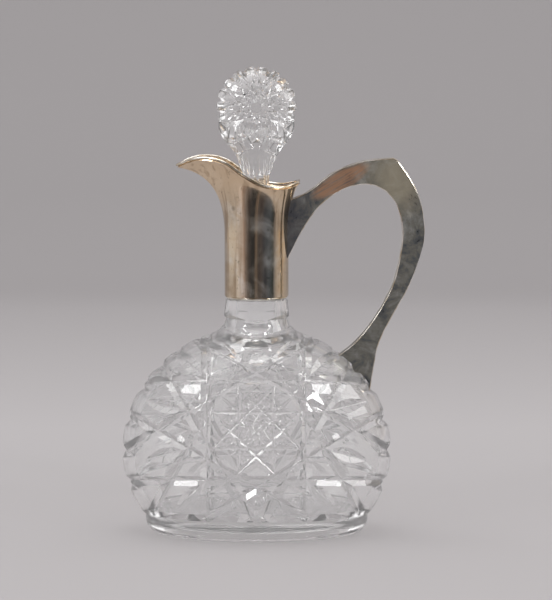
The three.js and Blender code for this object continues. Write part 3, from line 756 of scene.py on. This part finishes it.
def scribed(piece):
    """Fits a piece of the handle to the collar and to the shoulder of the glass."""
    grown = body_profile(FOOT_HEIGHT, NECK_FOOT_RADIUS, GLASS_FIT, BODY_STEPS)
    side = [(0, FOOT_HEIGHT), *grown, (0, NECK_FOOT_Z + GLASS_FIT)]
    shoulder = turned("shoulder_form", side, 160, GLASS_FIT)
    combine(shoulder, [drawn("wheel", rows) for rows in end_grooves(GLASS_FIT)])
    combine(piece, [drawn("collar_form", collar_loops(COLLAR_FIT, NECK_SHOULDER_Z)), shoulder])
    return piece


def handle_cheek(name, side):
    near, far = sorted((side * (HANDLE_DEPTH / 2 - HANDLE_SHEET), side * HANDLE_DEPTH / 2))
    cheek = handle_plate(name, OUTER_RUN + INNER_RUN[::-1], near, far)
    carry_out(cheek, "BEVEL", width=CHEEK_ROUNDING * MM, segments=2, limit_method="ANGLE",
              angle_limit=math.radians(60))
    return scribed(cheek)


def handle_strip(name, run, turn):
    inner = HANDLE_DEPTH / 2 - HANDLE_SHEET - STRIP_SLACK
    outline = moved_in(run, STRIP_SET_IN, turn) + moved_in(run, HANDLE_SHEET, turn)[::-1]
    return scribed(handle_plate(name, outline, -inner, inner))


# Stopper

def ball_groove(outline, depth, half_width, end_share):
    """Rows of a V-shaped wheel's path over the head, given as directions from its middle."""
    rows = []
    centre = Vector((0, 0, HEAD_Z))
    size = Vector((HEAD_RADIUS, HEAD_HALF_DEPTH, HEAD_RADIUS))
    line = [centre + Vector([a * b for a, b in zip(d, size)]) for d in outline]
    for i, p in enumerate(line):
        along = (line[min(i + 1, len(line) - 1)] - line[max(i - 1, 0)]).normalized()
        out = Vector([(a - c) / (b * b) for a, b, c in zip(p, size, centre)]).normalized()
        side = along.cross(out).normalized()
        swell = end_share + (1 - end_share) * math.sin(math.pi * i / (len(line) - 1))
        deep, wide = depth * swell, half_width * swell
        spread = wide * (deep + HEAD_CUTTER_PROUD) / deep
        top = p + out * HEAD_CUTTER_PROUD
        rows.append([p - out * deep, top + side * spread, top - side * spread])
    return rows


def head_direction(across, up):
    """The unit direction of a place on the front face, given in shares of the head's radius."""
    return Vector((across, -math.sqrt(max(0.0, 1 - across * across - up * up)), up))


def head_cuts():
    """The scallops over the head's edge and the two rings of lines on each face."""
    cuts = []
    for i in range(HEAD_SCALLOPS):
        angle = math.pi / 2 + math.tau * i / HEAD_SCALLOPS
        if HEAD_Z + HEAD_RADIUS * math.sin(angle) > SCALLOPS_ABOVE_Z:
            tilts = [math.radians(SCALLOP_TURN * (k / 8 - 1)) for k in range(17)]
            line = [
                Vector((math.cos(t) * math.cos(angle), math.sin(t), math.cos(t) * math.sin(angle)))
                for t in tilts
            ]
            cuts.append(ball_groove(line, SCALLOP_DEPTH, SCALLOP_HALF_WIDTH, 0.15))
    for face in (1, -1):
        for tip, degrees, depth, half_width in HEAD_RINGS:
            for i in range(HEAD_LINES):
                turn = math.tau * (i + 0.5) / HEAD_LINES
                half = math.radians(degrees)
                ends = [
                    (tip * math.cos(turn + s * half), tip * math.sin(turn + s * half))
                    for s in (-1, 1)
                ]
                line = []
                for k in range(11):
                    place = head_direction(*(a + (b - a) * k / 10 for a, b in zip(*ends)))
                    line.append(Vector((place.x, place.y * face, place.z)))
                cuts.append(ball_groove(line, depth, half_width, 0.35))
    return cuts


def stem_flatness(z):
    """How much shallower than wide the stem is at a level."""
    share = min(1.0, max(0.0, (z - STEM_WAIST_Z) / 25))
    return 1 + (STEM_FLATNESS - 1) * share * share * (3 - 2 * share)


def stem_flutes():
    """Shallow hollows ground up the eight panels of the stem, each with an arched end."""
    flare = smooth_line([(z, growth) for z, growth in STEM_FLARE], 71)
    cuts = []
    for i in range(STEM_PANELS):
        turn = math.tau * i / STEM_PANELS
        out = Vector((math.cos(turn), math.sin(turn), 0))
        line = []
        for z in FLUTE_LEVELS:
            nearest = min(flare, key=lambda p: abs(p.x + STEM_WAIST_Z - z))
            growth = 0.0 if z < STEM_WAIST_Z else nearest.y
            place = out * (STEM_WAIST_RADIUS + growth)
            line.append(Vector((place.x, place.y * stem_flatness(z), z)))
        rows = []
        for k, p in enumerate(line):
            along = (line[min(k + 1, len(line) - 1)] - line[max(k - 1, 0)]).normalized()
            side = along.cross(out).normalized()
            away = side.cross(along)
            up = min(1.0, 0.35 + 0.65 * k / (len(line) - 1))
            swell = 0.1 + 0.9 * math.sin(math.pi * up) ** 0.7
            width, depth = FLUTE_HALF_WIDTH * swell, FLUTE_DEPTH * swell
            hollow = [
                p + side * (across * width) - away * (depth * (1 - across * across))
                for across in (-1.3, -1.0, -0.7, -0.35, 0, 0.35, 0.7, 1.0, 1.3)
            ]
            rows.append([*hollow, hollow[-1] + away * 2, hollow[0] + away * 2])
        cuts.append(rows)
    return cuts


def front_of_stopper(x, z):
    """How far forward the glass reaches at a place of the head or of the flare under it."""
    round_share = 1 - (x * x + (z - HEAD_Z) ** 2) / HEAD_RADIUS ** 2
    head = -HEAD_HALF_DEPTH * math.sqrt(max(0.0, round_share))
    above = min(max(z - STEM_WAIST_Z, 0.0), STEM_FLARE[-1][0])
    low, high = next((a, b) for a, b in zip(STEM_FLARE, STEM_FLARE[1:]) if b[0] >= above)
    reach = STEM_WAIST_RADIUS + low[1] + (high[1] - low[1]) * (above - low[0]) / (high[0] - low[0])
    panels = [math.tau * i / STEM_PANELS for i in range(1, STEM_PANELS // 2)]
    flare = -stem_flatness(z) * min((reach - x * math.cos(turn)) / math.sin(turn) for turn in panels)
    return min(head, flare)


def out_of_stopper(p):
    """The direction square to the front of the stopper at a point."""
    step = 0.2
    across = front_of_stopper(p.x + step, p.z) - front_of_stopper(p.x - step, p.z)
    up = front_of_stopper(p.x, p.z + step) - front_of_stopper(p.x, p.z - step)
    return Vector((across / (2 * step), -1, up / (2 * step))).normalized()


def swag_cuts():
    """The curved cuts of both sides and both faces under the head."""
    cuts = []
    for side in (-1, 1):
        for corners, depth, half_width in SWAGS:
            line = []
            for p in smooth_line([(side * x, z) for x, z in corners], 11):
                line.append(Vector((p.x, front_of_stopper(p.x, p.y), p.y)))
            front = groove(line, depth, half_width, 0.3, outward_at=out_of_stopper)
            cuts += [front, mirrored(front)]
    return cuts


def cut_stopper():
    deselect()
    bpy.ops.mesh.primitive_uv_sphere_add(
        segments=96, ring_count=48, radius=1, location=(0, 0, HEAD_Z * MM), rotation=(math.pi / 2, 0, 0),
        scale=(HEAD_RADIUS * MM, HEAD_RADIUS * MM, HEAD_HALF_DEPTH * MM))
    bpy.ops.object.transform_apply(location=True, rotation=True, scale=True)
    stopper = named("cut_stopper")
    to_corner = 1 / math.cos(math.pi / STEM_PANELS)
    flare = [
        ((STEM_WAIST_RADIUS + p.y) * to_corner, STEM_WAIST_Z + p.x)
        for p in smooth_line(STEM_FLARE, 31)
    ]
    side = [(0, STEM_WAIST_Z - 2), *flare, (0, STEM_WAIST_Z + STEM_FLARE[-1][0])]
    stem = turned("stem", side, STEM_PANELS)
    for corner in stem.data.vertices:
        turn = math.pi / STEM_PANELS
        x, y = corner.co.x, corner.co.y
        corner.co.x = x * math.cos(turn) - y * math.sin(turn)
        corner.co.y = (x * math.sin(turn) + y * math.cos(turn)) * stem_flatness(corner.co.z / MM)
    top = NECK_TOP_Z - PEG_BELOW_TOP
    bottom = top - PEG_LENGTH
    low = seat_radius(bottom) - SEAT_CLEARANCE
    peg = turned("peg", [
        (0, bottom), (low - PEG_CHAMFER, bottom), (low, bottom + PEG_CHAMFER),
        (seat_radius(top) - SEAT_CLEARANCE, top), (STEM_WAIST_RADIUS - 0.4, top + 5),
        (STEM_WAIST_RADIUS - 0.2, STEM_WAIST_Z + 1), (0, STEM_WAIST_Z + 1),
    ], 64)
    combine(stopper, [stem, peg], "UNION")
    combine(stopper, [drawn("wheel", rows) for rows in head_cuts() + stem_flutes() + swag_cuts()])
    return stopper


# Materials

def linear(code):
    """A colour as written, turned to linear light."""
    parts = [int(code[i:i + 2], 16) / 255 for i in (0, 2, 4)]
    return tuple(c / 12.92 if c <= 0.04045 else ((c + 0.055) / 1.055) ** 2.4 for c in parts) + (1.0,)


def material(name):
    made = bpy.data.materials.new(name)
    made.use_nodes = True
    made.node_tree.nodes.clear()
    return made, made.node_tree


def add(tree, kind, values=None, links=None, stops=(), **settings):
    """Adds a node with its settings, the values of its inputs, the links into them and any ramp stops."""
    made = tree.nodes.new(kind)
    for i, (position, code) in enumerate(stops):
        stop = made.color_ramp.elements[i] if i < 2 else made.color_ramp.elements.new(position)
        stop.position, stop.color = position, linear(code)
    for key, value in settings.items():
        setattr(made, key, value)
    for socket, value in (values or {}).items():
        made.inputs[socket].default_value = value
    for socket, source in (links or {}).items():
        tree.links.new(source, made.inputs[socket])
    return made


# Lead crystal, blown, wheel-cut and polished: clear and bright, with ripples from the polishing wheel
# 11 mm apart and a faint grey-white veil of fine wear. Rays from lamps and from the floor pass
# straight through, so that its shadow stays light.
glass, tree = material("lead_crystal_cut_and_polished")
place = add(tree, "ShaderNodeTexCoord")
ripple = add(tree, "ShaderNodeTexNoise", {"Scale": 90.0, "Detail": 2.0},
             {"Vector": place.outputs["Object"]})
bump = add(tree, "ShaderNodeBump", {"Strength": 0.25, "Distance": 0.0001},
           {"Height": ripple.outputs["Fac"]})
shader = add(tree, "ShaderNodeBsdfPrincipled", {
    "Base Color": linear("fbfbfb"), "Roughness": 0.0, "IOR": 1.545, "Transmission Weight": 0.93,
}, {"Normal": bump.outputs["Normal"]})
path = add(tree, "ShaderNodeLightPath")
light_through = add(tree, "ShaderNodeBsdfTransparent", {"Color": (0.93, 0.93, 0.93, 1)})
for_lamps = add(tree, "ShaderNodeMixShader", links={
    0: path.outputs["Is Shadow Ray"], 1: shader.outputs[0], 2: light_through.outputs[0],
})
sky_through = add(tree, "ShaderNodeBsdfTransparent", {"Color": (0.9, 0.9, 0.9, 1)})
for_floor = add(tree, "ShaderNodeMixShader", links={
    0: path.outputs["Is Diffuse Ray"], 1: for_lamps.outputs[0], 2: sky_through.outputs[0],
})
add(tree, "ShaderNodeOutputMaterial", links={"Surface": for_floor.outputs[0]})

# Sterling silver, raised with the hammer and planished: nearly a mirror, with soft waves from the
# hammer about 14 mm apart, under warm tarnish in upright streaks 4 mm wide and in blotches as wide as
# the waves, with two darker stains under the rim
STAIN_SPOT = (-0.0126, -0.0129, 0.194)
STAIN_DASH = (0.0142, -0.0111, 0.192)
silver, tree = material("sterling_silver_raised_and_tarnished")
place = add(tree, "ShaderNodeTexCoord")
clouds = add(tree, "ShaderNodeTexNoise", {"Scale": 70.0, "Detail": 6.0, "Roughness": 0.62, "Distortion": 0.6},
             {"Vector": place.outputs["Object"]})
upright = add(tree, "ShaderNodeMapping", {"Scale": (250, 250, 14)}, {"Vector": place.outputs["Object"]})
streaks = add(tree, "ShaderNodeTexNoise", {"Scale": 1.0, "Detail": 4.0}, {"Vector": upright.outputs[0]})
waves = add(tree, "ShaderNodeTexNoise", {"Scale": 70.0, "Detail": 0.0},
            {"Vector": place.outputs["Object"]})
specks = add(tree, "ShaderNodeTexNoise", {"Scale": 420.0, "Detail": 3.0, "Roughness": 0.7},
             {"Vector": place.outputs["Object"]})
tone = add(tree, "ShaderNodeValToRGB", links={"Fac": clouds.outputs["Fac"]},
           stops=((0.3, "cbb69b"), (0.7, "ded5c8"), (0.5, "d3c2aa")))
height = add(tree, "ShaderNodeSeparateXYZ", links={"Vector": place.outputs["Object"]})
towards_rim = add(tree, "ShaderNodeMapRange", {"From Min": 0.188, "From Max": 0.208, "To Max": 0.8},
                  {"Value": height.outputs["Z"]})
gilded = add(tree, "ShaderNodeMix", {7: linear("e6cdae")},
             {"Factor": towards_rim.outputs[0], 6: tone.outputs["Color"]}, data_type="RGBA")
streaked = add(tree, "ShaderNodeMapRange", {"From Min": 0.5, "From Max": 0.68, "To Max": 0.55},
               {"Value": streaks.outputs["Fac"]})
warm = add(tree, "ShaderNodeMix", {7: linear("94785a")},
           {"Factor": streaked.outputs[0], 6: gilded.outputs[2]}, data_type="RGBA")
speckled = add(tree, "ShaderNodeMapRange", {"From Min": 0.6, "From Max": 0.72, "To Max": 0.6},
               {"Value": specks.outputs["Fac"]})
spot_at = add(tree, "ShaderNodeVectorMath", {1: STAIN_SPOT}, {0: place.outputs["Object"]},
              operation="DISTANCE")
spot = add(tree, "ShaderNodeMapRange", {"From Min": 0.0024, "From Max": 0.001, "To Max": 0.7},
           {"Value": spot_at.outputs["Value"]})
dash_place = add(tree, "ShaderNodeMapping", {"Location": STAIN_DASH, "Scale": (1, 1, 4)},
                 {"Vector": place.outputs["Object"]}, vector_type="TEXTURE")
dash_at = add(tree, "ShaderNodeVectorMath", links={0: dash_place.outputs[0]}, operation="LENGTH")
dash = add(tree, "ShaderNodeMapRange", {"From Min": 0.0016, "From Max": 0.0008, "To Max": 0.8},
           {"Value": dash_at.outputs["Value"]})
marks = add(tree, "ShaderNodeMath", links={0: spot.outputs[0], 1: dash.outputs[0]}, operation="MAXIMUM")
blots = add(tree, "ShaderNodeMath", links={0: marks.outputs[0], 1: speckled.outputs[0]}, operation="MAXIMUM")
stained = add(tree, "ShaderNodeMix", {7: linear("6a5a45")}, {"Factor": blots.outputs[0], 6: warm.outputs[2]},
              data_type="RGBA")
dulled = add(tree, "ShaderNodeMapRange", {"From Min": 0.35, "From Max": 0.7, "To Min": 0.07, "To Max": 0.2},
             {"Value": clouds.outputs["Fac"]})
film = add(tree, "ShaderNodeMapRange", {"From Min": 0.45, "From Max": 0.66, "To Min": 0.99, "To Max": 0.88},
           {"Value": clouds.outputs["Fac"]})
bump = add(tree, "ShaderNodeBump", {"Strength": 0.35, "Distance": 0.0003}, {"Height": waves.outputs["Fac"]})
shader = add(tree, "ShaderNodeBsdfPrincipled", links={
    "Base Color": stained.outputs[2], "Roughness": dulled.outputs[0], "Metallic": film.outputs[0],
    "Normal": bump.outputs["Normal"],
})
add(tree, "ShaderNodeOutputMaterial", links={"Surface": shader.outputs[0]})

# Rolled silver sheet, polished flat and long tarnished: grey and olive clouds 12 mm across, a coppery
# patch on the rise, fine scratches along it 0.7 mm apart, and a paler patch on the top bend that is a
# painted highlight
COPPER_PATCH = (0.0495, -0.0055, 0.2095)
PAINTED_HIGHLIGHT_ON_BEND = (0.084, -0.0055, 0.21)
handle_metal, tree = material("silver_sheet_rolled_and_tarnished")
place = add(tree, "ShaderNodeTexCoord")
clouds = add(tree, "ShaderNodeTexNoise", {"Scale": 80.0, "Detail": 9.0, "Roughness": 0.72, "Distortion": 0.4},
             {"Vector": place.outputs["Object"]})
tone = add(tree, "ShaderNodeValToRGB", links={"Fac": clouds.outputs["Fac"]},
           stops=((0.34, "4c4d50"), (0.68, "a8a49b"), (0.44, "686a6a"), (0.5, "7d7a72"), (0.57, "8b8a86")))
parts = add(tree, "ShaderNodeSeparateXYZ", links={"Vector": place.outputs["Object"]})
root_share = add(tree, "ShaderNodeMapRange", {"From Min": 0.038, "From Max": 0.022, "To Max": 0.55},
                 {"Value": parts.outputs["X"]})
rooted = add(tree, "ShaderNodeMix", {7: linear("4f4e58")},
             {"Factor": root_share.outputs[0], 6: tone.outputs["Color"]}, data_type="RGBA")
on_rise = add(tree, "ShaderNodeMapping", {
    "Location": COPPER_PATCH, "Rotation": (0, math.radians(-30), 0), "Scale": (0.017, 0.02, 0.0052),
}, {"Vector": place.outputs["Object"]}, vector_type="TEXTURE")
copper_at = add(tree, "ShaderNodeVectorMath", links={0: on_rise.outputs[0]}, operation="LENGTH")
copper_share = add(tree, "ShaderNodeMapRange", {"From Min": 1.25, "From Max": 0.85},
                   {"Value": copper_at.outputs["Value"]})
lines = add(tree, "ShaderNodeMapping", {"Scale": (0.6, 0.6, 3.2)}, {"Vector": on_rise.outputs[0]})
brushed = add(tree, "ShaderNodeTexNoise", {"Scale": 1.6, "Detail": 4.0}, {"Vector": lines.outputs[0]})
brushed_share = add(tree, "ShaderNodeMapRange", {
    "From Min": 0.38, "From Max": 0.52, "To Min": 0.25, "To Max": 0.95,
}, {"Value": brushed.outputs["Fac"]})
streaky = add(tree, "ShaderNodeMath", links={0: copper_share.outputs[0], 1: brushed_share.outputs[0]},
              operation="MULTIPLY")
coppered = add(tree, "ShaderNodeMix", {7: linear("b58c70")},
               {"Factor": streaky.outputs[0], 6: rooted.outputs[2]}, data_type="RGBA")
# Painted highlight: a paler patch on the handle's top bend, full within 8 mm of its middle and gone by 24 mm
highlight_at = add(tree, "ShaderNodeVectorMath", {1: PAINTED_HIGHLIGHT_ON_BEND}, {0: place.outputs["Object"]},
              operation="DISTANCE")
highlight_share = add(tree, "ShaderNodeMapRange", {"From Min": 0.024, "From Max": 0.008, "To Max": 0.6},
                 {"Value": highlight_at.outputs["Value"]})
highlighted = add(tree, "ShaderNodeMix", {7: linear("c2b69e")},
             {"Factor": highlight_share.outputs[0], 6: coppered.outputs[2]}, data_type="RGBA")
along = add(tree, "ShaderNodeMapping", {"Rotation": (0, 0.5, 0), "Scale": (90, 90, 1400)},
            {"Vector": place.outputs["Object"]})
scratches = add(tree, "ShaderNodeTexNoise", {"Scale": 1.0, "Detail": 2.0}, {"Vector": along.outputs[0]})
dulled = add(tree, "ShaderNodeMapRange", {"From Min": 0.3, "From Max": 0.7, "To Min": 0.24, "To Max": 0.42},
             {"Value": clouds.outputs["Fac"]})
bump = add(tree, "ShaderNodeBump", {"Strength": 0.3, "Distance": 0.00004},
           {"Height": scratches.outputs["Fac"]})
shader = add(tree, "ShaderNodeBsdfPrincipled", {"Metallic": 0.62}, {
    "Base Color": highlighted.outputs[2], "Roughness": dulled.outputs[0], "Normal": bump.outputs["Normal"],
})
add(tree, "ShaderNodeOutputMaterial", links={"Surface": shader.outputs[0]})

# The same silver where hands and cloths keep its edges and wires bright: thin, almost white lines
edge_metal, tree = material("silver_edge_worn_bright")
place = add(tree, "ShaderNodeTexCoord")
wear = add(tree, "ShaderNodeTexNoise", {"Scale": 160.0, "Detail": 4.0}, {"Vector": place.outputs["Object"]})
tone = add(tree, "ShaderNodeValToRGB", links={"Fac": wear.outputs["Fac"]},
           stops=((0.35, "b9a98c"), (0.6, "f0ebe2")))
dulled = add(tree, "ShaderNodeMapRange", {"To Min": 0.1, "To Max": 0.3}, {"Value": wear.outputs["Fac"]})
shader = add(tree, "ShaderNodeBsdfPrincipled", {"Metallic": 1.0},
             {"Base Color": tone.outputs["Color"], "Roughness": dulled.outputs[0]})
add(tree, "ShaderNodeOutputMaterial", links={"Surface": shader.outputs[0]})

# Plaster of Paris, poured and set: matt and off-white, with soft clouds and pores a millimetre apart,
# drawn coarser than the real ones so that they show
plaster, tree = material("plaster_of_paris_poured")
place = add(tree, "ShaderNodeTexCoord")
clouds = add(tree, "ShaderNodeTexNoise", {"Scale": 120.0, "Detail": 5.0},
             {"Vector": place.outputs["Object"]})
tone = add(tree, "ShaderNodeValToRGB", links={"Fac": clouds.outputs["Fac"]},
           stops=((0.35, "cbc3b4"), (0.65, "e0dacf")))
pores = add(tree, "ShaderNodeTexVoronoi", {"Scale": 900.0}, {"Vector": place.outputs["Object"]})
bump = add(tree, "ShaderNodeBump", {"Strength": 0.4, "Distance": 0.0001},
           {"Height": pores.outputs["Distance"]})
shader = add(tree, "ShaderNodeBsdfPrincipled", {"Roughness": 0.9},
             {"Base Color": tone.outputs["Color"], "Normal": bump.outputs["Normal"]})
add(tree, "ShaderNodeOutputMaterial", links={"Surface": shader.outputs[0]})


# The pieces, each on its body and in its finish

def finished(piece, body, slot, finish, degrees, *nodes):
    piece.data.materials.clear()
    piece.data.materials.append(finish)
    shaded(piece, degrees)
    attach(piece, body)
    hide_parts(*nodes)
    print(piece.name, sum(len(p.vertices) - 2 for p in piece.data.polygons), "triangles")


for piece, body, slot, node in (
    (cut_glass_body(), "jug", "cut_glass", "glass_body"),
    (cut_stopper(), "stopper", "stopper_glass", "stopper"),
):
    finished(piece, body, slot, glass, 24, node)
    polished(piece)
finished(raised_collar(), "jug", "collar_silver", silver, 40, "collar")
rim_wire = wire_round("rim_wire", rim_wire_path(), RIM_WIRE_RADIUS, 12)
finished(rim_wire, "jug", "silver_wire", edge_metal, 60, "collar_rim_wire")
foot_wire = wire_round("foot_wire", foot_wire_path(), FOOT_WIRE_RADIUS, 12)
finished(foot_wire, "jug", "silver_wire", edge_metal, 60, "collar_foot_wire")
for name, side in (("front_cheek", -1), ("rear_cheek", 1)):
    cheek = handle_cheek(name, side)
    finished(cheek, "jug", "handle_silver", handle_metal, 15, "handle_" + name)
    cheek.data.materials.append(edge_metal)
    for face in cheek.data.polygons:
        if 0.2 < abs(face.normal.y) < 0.97:
            face.material_index = 1
finished(handle_strip("outer_strip", OUTER_RUN, -1), "jug", "handle_edge_silver", handle_metal, 30,
         "handle_outer_strip")
finished(handle_strip("inner_strip", INNER_RUN, 1), "jug", "handle_edge_silver", handle_metal, 30,
         "handle_inner_strip")
for name in ("neck_cement", "handle_cement"):
    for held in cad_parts[name].material_slots:
        held.material = plaster

# Studio, in metres: a pale paper sweep that turns up behind the jug, a grey tent and lamps
deselect()
bpy.ops.mesh.primitive_grid_add(x_subdivisions=2, y_subdivisions=60, size=2)
sweep = named("pale_sweep")
length, half_width, front, flat, bend = 3.8, 1.6, 0.32, 1.77, 0.6
for corner in sweep.data.vertices:
    run = (corner.co.y + 1) / 2 * length
    corner.co.x *= half_width
    if run < flat:
        corner.co.y, corner.co.z = run - front, 0
    elif run < flat + bend * math.pi / 2:
        turn = (run - flat) / bend
        corner.co.y, corner.co.z = flat - front + bend * math.sin(turn), bend * (1 - math.cos(turn))
    else:
        corner.co.y, corner.co.z = flat - front + bend, bend + run - flat - bend * math.pi / 2
    corner.co.z -= 0.0002
shaded(sweep, 60)

# Background paper, unglazed, a little fibrous and matt. Its colour holds painted light falloff: palest
# a little behind the jug, with painted shade darker at the front edge and darker still where it climbs
paper, tree = material("pale_paper_with_painted_falloff")
place = add(tree, "ShaderNodeTexCoord")
parts = add(tree, "ShaderNodeSeparateXYZ", links={"Vector": place.outputs["Object"]})
paper_falloff_place = add(tree, "ShaderNodeMapRange", {"From Min": -0.2, "From Max": 2.05}, {"Value": parts.outputs["Y"]})
fibres = add(tree, "ShaderNodeTexNoise", {"Scale": 700.0, "Detail": 4.0},
             {"Vector": place.outputs["Object"]})
# Painted light falloff: the paper's colour is palest a little behind the jug and painted darker towards the
# front and up the climb
tone = add(tree, "ShaderNodeValToRGB", links={"Fac": paper_falloff_place.outputs[0]}, stops=(
    (0.0, "b1adae"), (1.0, "a9a5a6"), (0.155, "b4b0b1"), (0.28, "bbb7b8"), (0.65, "b8b4b5"),
    (0.815, "aeaaab"), (0.87, "aaa6a7"),
))
bump = add(tree, "ShaderNodeBump", {"Strength": 0.1, "Distance": 0.0001},
           {"Height": fibres.outputs["Fac"]})
shader = add(tree, "ShaderNodeBsdfPrincipled", {"Roughness": 0.8, "Specular IOR Level": 0.2},
             {"Base Color": tone.outputs["Color"], "Normal": bump.outputs["Normal"]})
add(tree, "ShaderNodeOutputMaterial", links={"Surface": shader.outputs[0]})
sweep.data.materials.append(paper)

# The tent: pale at the sides, open and dark towards the camera, with a softbox above. Polished silver
# mirrors the room, glass shows the tent's cloth and two windows in it, and paper is lit evenly.
world = bpy.data.worlds.new("grey_tent")
bpy.context.scene.world = world
world.use_nodes = True
tree = world.node_tree
tree.nodes.clear()
place = add(tree, "ShaderNodeTexCoord")
parts = add(tree, "ShaderNodeSeparateXYZ", links={"Vector": place.outputs["Generated"]})
ahead = add(tree, "ShaderNodeMath", {1: -1.0}, {0: parts.outputs["Y"]}, operation="MULTIPLY")
bearing = add(tree, "ShaderNodeMath", links={0: parts.outputs["X"], 1: ahead.outputs[0]}, operation="ARCTAN2")
round_about = add(tree, "ShaderNodeMapRange", {"From Min": -math.pi / 2, "From Max": math.pi / 2},
                  {"Value": bearing.outputs[0]})
# Bearings run from 90 degrees left of the camera's side to 90 degrees right of it
room = add(tree, "ShaderNodeValToRGB", links={"Fac": round_about.outputs[0]}, stops=(
    (0.0, "e0dedf"), (1.0, "dccfc2"), (0.136, "d9d8df"), (0.2, "d4d0d6"), (0.24, "b9acac"), (0.3, "86848a"),
    (0.35, "4f4f56"), (0.406, "3a3d43"), (0.467, "393b40"), (0.475, "94877f"), (0.485, "45464a"),
    (0.505, "8c807a"), (0.52, "55555b"), (0.59, "55545a"), (0.658, "474e5c"), (0.746, "535e6e"),
    (0.84, "3c444b"), (0.88, "9a9ba2"),
))
aloft = add(tree, "ShaderNodeMapRange", {"From Min": 0.62, "From Max": 0.68}, {"Value": parts.outputs["Z"]})
sides = add(tree, "ShaderNodeMix", {7: linear("c4c0c1")},
            {"Factor": aloft.outputs[0], 6: room.outputs["Color"]}, data_type="RGBA")
overhead = add(tree, "ShaderNodeVectorMath", {1: (-0.3, -0.1, 0.95)}, {0: place.outputs["Generated"]},
               operation="DOT_PRODUCT")
softbox = add(tree, "ShaderNodeMapRange", {"From Min": 0.86, "From Max": 0.89},
              {"Value": overhead.outputs["Value"]})
mirrored_in = add(tree, "ShaderNodeMix", {7: (1.5, 1.5, 1.5, 1)},
                  {"Factor": softbox.outputs[0], 6: sides.outputs[2]}, data_type="RGBA")
panes = add(tree, "ShaderNodeValToRGB", links={"Fac": round_about.outputs[0]}, stops=(
    (0.0, "000000"), (1.0, "000000"), (0.08, "000000"), (0.1, "c8c8c8"), (0.2, "c8c8c8"),
    (0.22, "000000"), (0.78, "000000"), (0.8, "c8c8c8"), (0.9, "c8c8c8"), (0.92, "000000"),
))
sill = add(tree, "ShaderNodeMapRange", {"From Min": -0.1, "From Max": -0.05}, {"Value": parts.outputs["Z"]})
lintel = add(tree, "ShaderNodeMapRange", {"From Min": 0.65, "From Max": 0.6}, {"Value": parts.outputs["Z"]})
opening = add(tree, "ShaderNodeMath", links={0: sill.outputs[0], 1: lintel.outputs[0]}, operation="MULTIPLY")
window = add(tree, "ShaderNodeMath", links={0: panes.outputs["Color"], 1: opening.outputs[0]},
             operation="MULTIPLY")
lights = add(tree, "ShaderNodeMath", links={0: window.outputs[0], 1: softbox.outputs[0]},
             operation="MAXIMUM")
seen_through = add(tree, "ShaderNodeMix", {6: linear("b4b0b1"), 7: (2.2, 2.2, 2.2, 1)},
                   {"Factor": lights.outputs[0]}, data_type="RGBA")
path = add(tree, "ShaderNodeLightPath")
through = add(tree, "ShaderNodeMix", links={
    "Factor": path.outputs["Is Transmission Ray"], 6: mirrored_in.outputs[2], 7: seen_through.outputs[2],
}, data_type="RGBA")
lit = add(tree, "ShaderNodeMix", {7: (0.9, 0.9, 0.9, 1)},
          {"Factor": path.outputs["Is Diffuse Ray"], 6: through.outputs[2]}, data_type="RGBA")
backdrop = add(tree, "ShaderNodeMix", {7: linear("aeaaab")},
               {"Factor": path.outputs["Is Camera Ray"], 6: lit.outputs[2]}, data_type="RGBA")
air = add(tree, "ShaderNodeBackground", {"Strength": 1.0}, {"Color": backdrop.outputs[2]})
add(tree, "ShaderNodeOutputWorld", links={"Surface": air.outputs[0]})


LAMP_AIM = Vector((0, 0, 0.1))


def lamp(name, place, size, power, sparkle_only=False):
    deselect()
    bpy.ops.object.light_add(type="AREA", location=place)
    made = bpy.context.object
    made.name = made.data.name = name
    made.data.shape = "RECTANGLE"
    made.data.size, made.data.size_y = size
    made.data.energy = power
    made.visible_diffuse = made.visible_transmission = not sparkle_only
    made.rotation_euler = (LAMP_AIM - Vector(place)).to_track_quat("-Z", "Y").to_euler()


lamp("lamp_front_left", (-0.9, -1.0, 0.75), (0.16, 0.3), 3)
lamp("lamp_front_right", (0.95, -0.9, 0.75), (0.16, 0.3), 3)
lamp("lamp_top", (0, 0.1, 1.3), (0.6, 0.4), 3)
# Softboxes that show only as white lights in the polished facets and edges
lamp("softbox_left", (-0.88, -0.54, 0.96), (0.4, 0.4), 5, True)
lamp("softbox_right", (0.88, -0.54, 0.96), (0.4, 0.4), 5, True)
lamp("softbox_side", (1.3, -0.11, 0.69), (0.8, 0.5), 5, True)
lamp("softbox_high", (-0.4, -0.15, 1.4), (0.5, 0.5), 2.4, True)

# The camera stands 1.8 m in front of the jug, 322 mm up, and looks down a little
CAMERA_PLACE = (0.0115, -1.8, 0.322)
CAMERA_TILT = math.radians(90 - 5.82)
CAMERA_LENS = 183.06
SENSOR_WIDTH = 36
deselect()
bpy.ops.object.camera_add(location=CAMERA_PLACE, rotation=(CAMERA_TILT, 0, 0))
camera = bpy.context.object
camera.name = "studio_camera"
camera.data.lens = CAMERA_LENS
camera.data.sensor_width = SENSOR_WIDTH
bpy.context.scene.camera = camera
bpy.context.scene.view_settings.view_transform = "Standard"
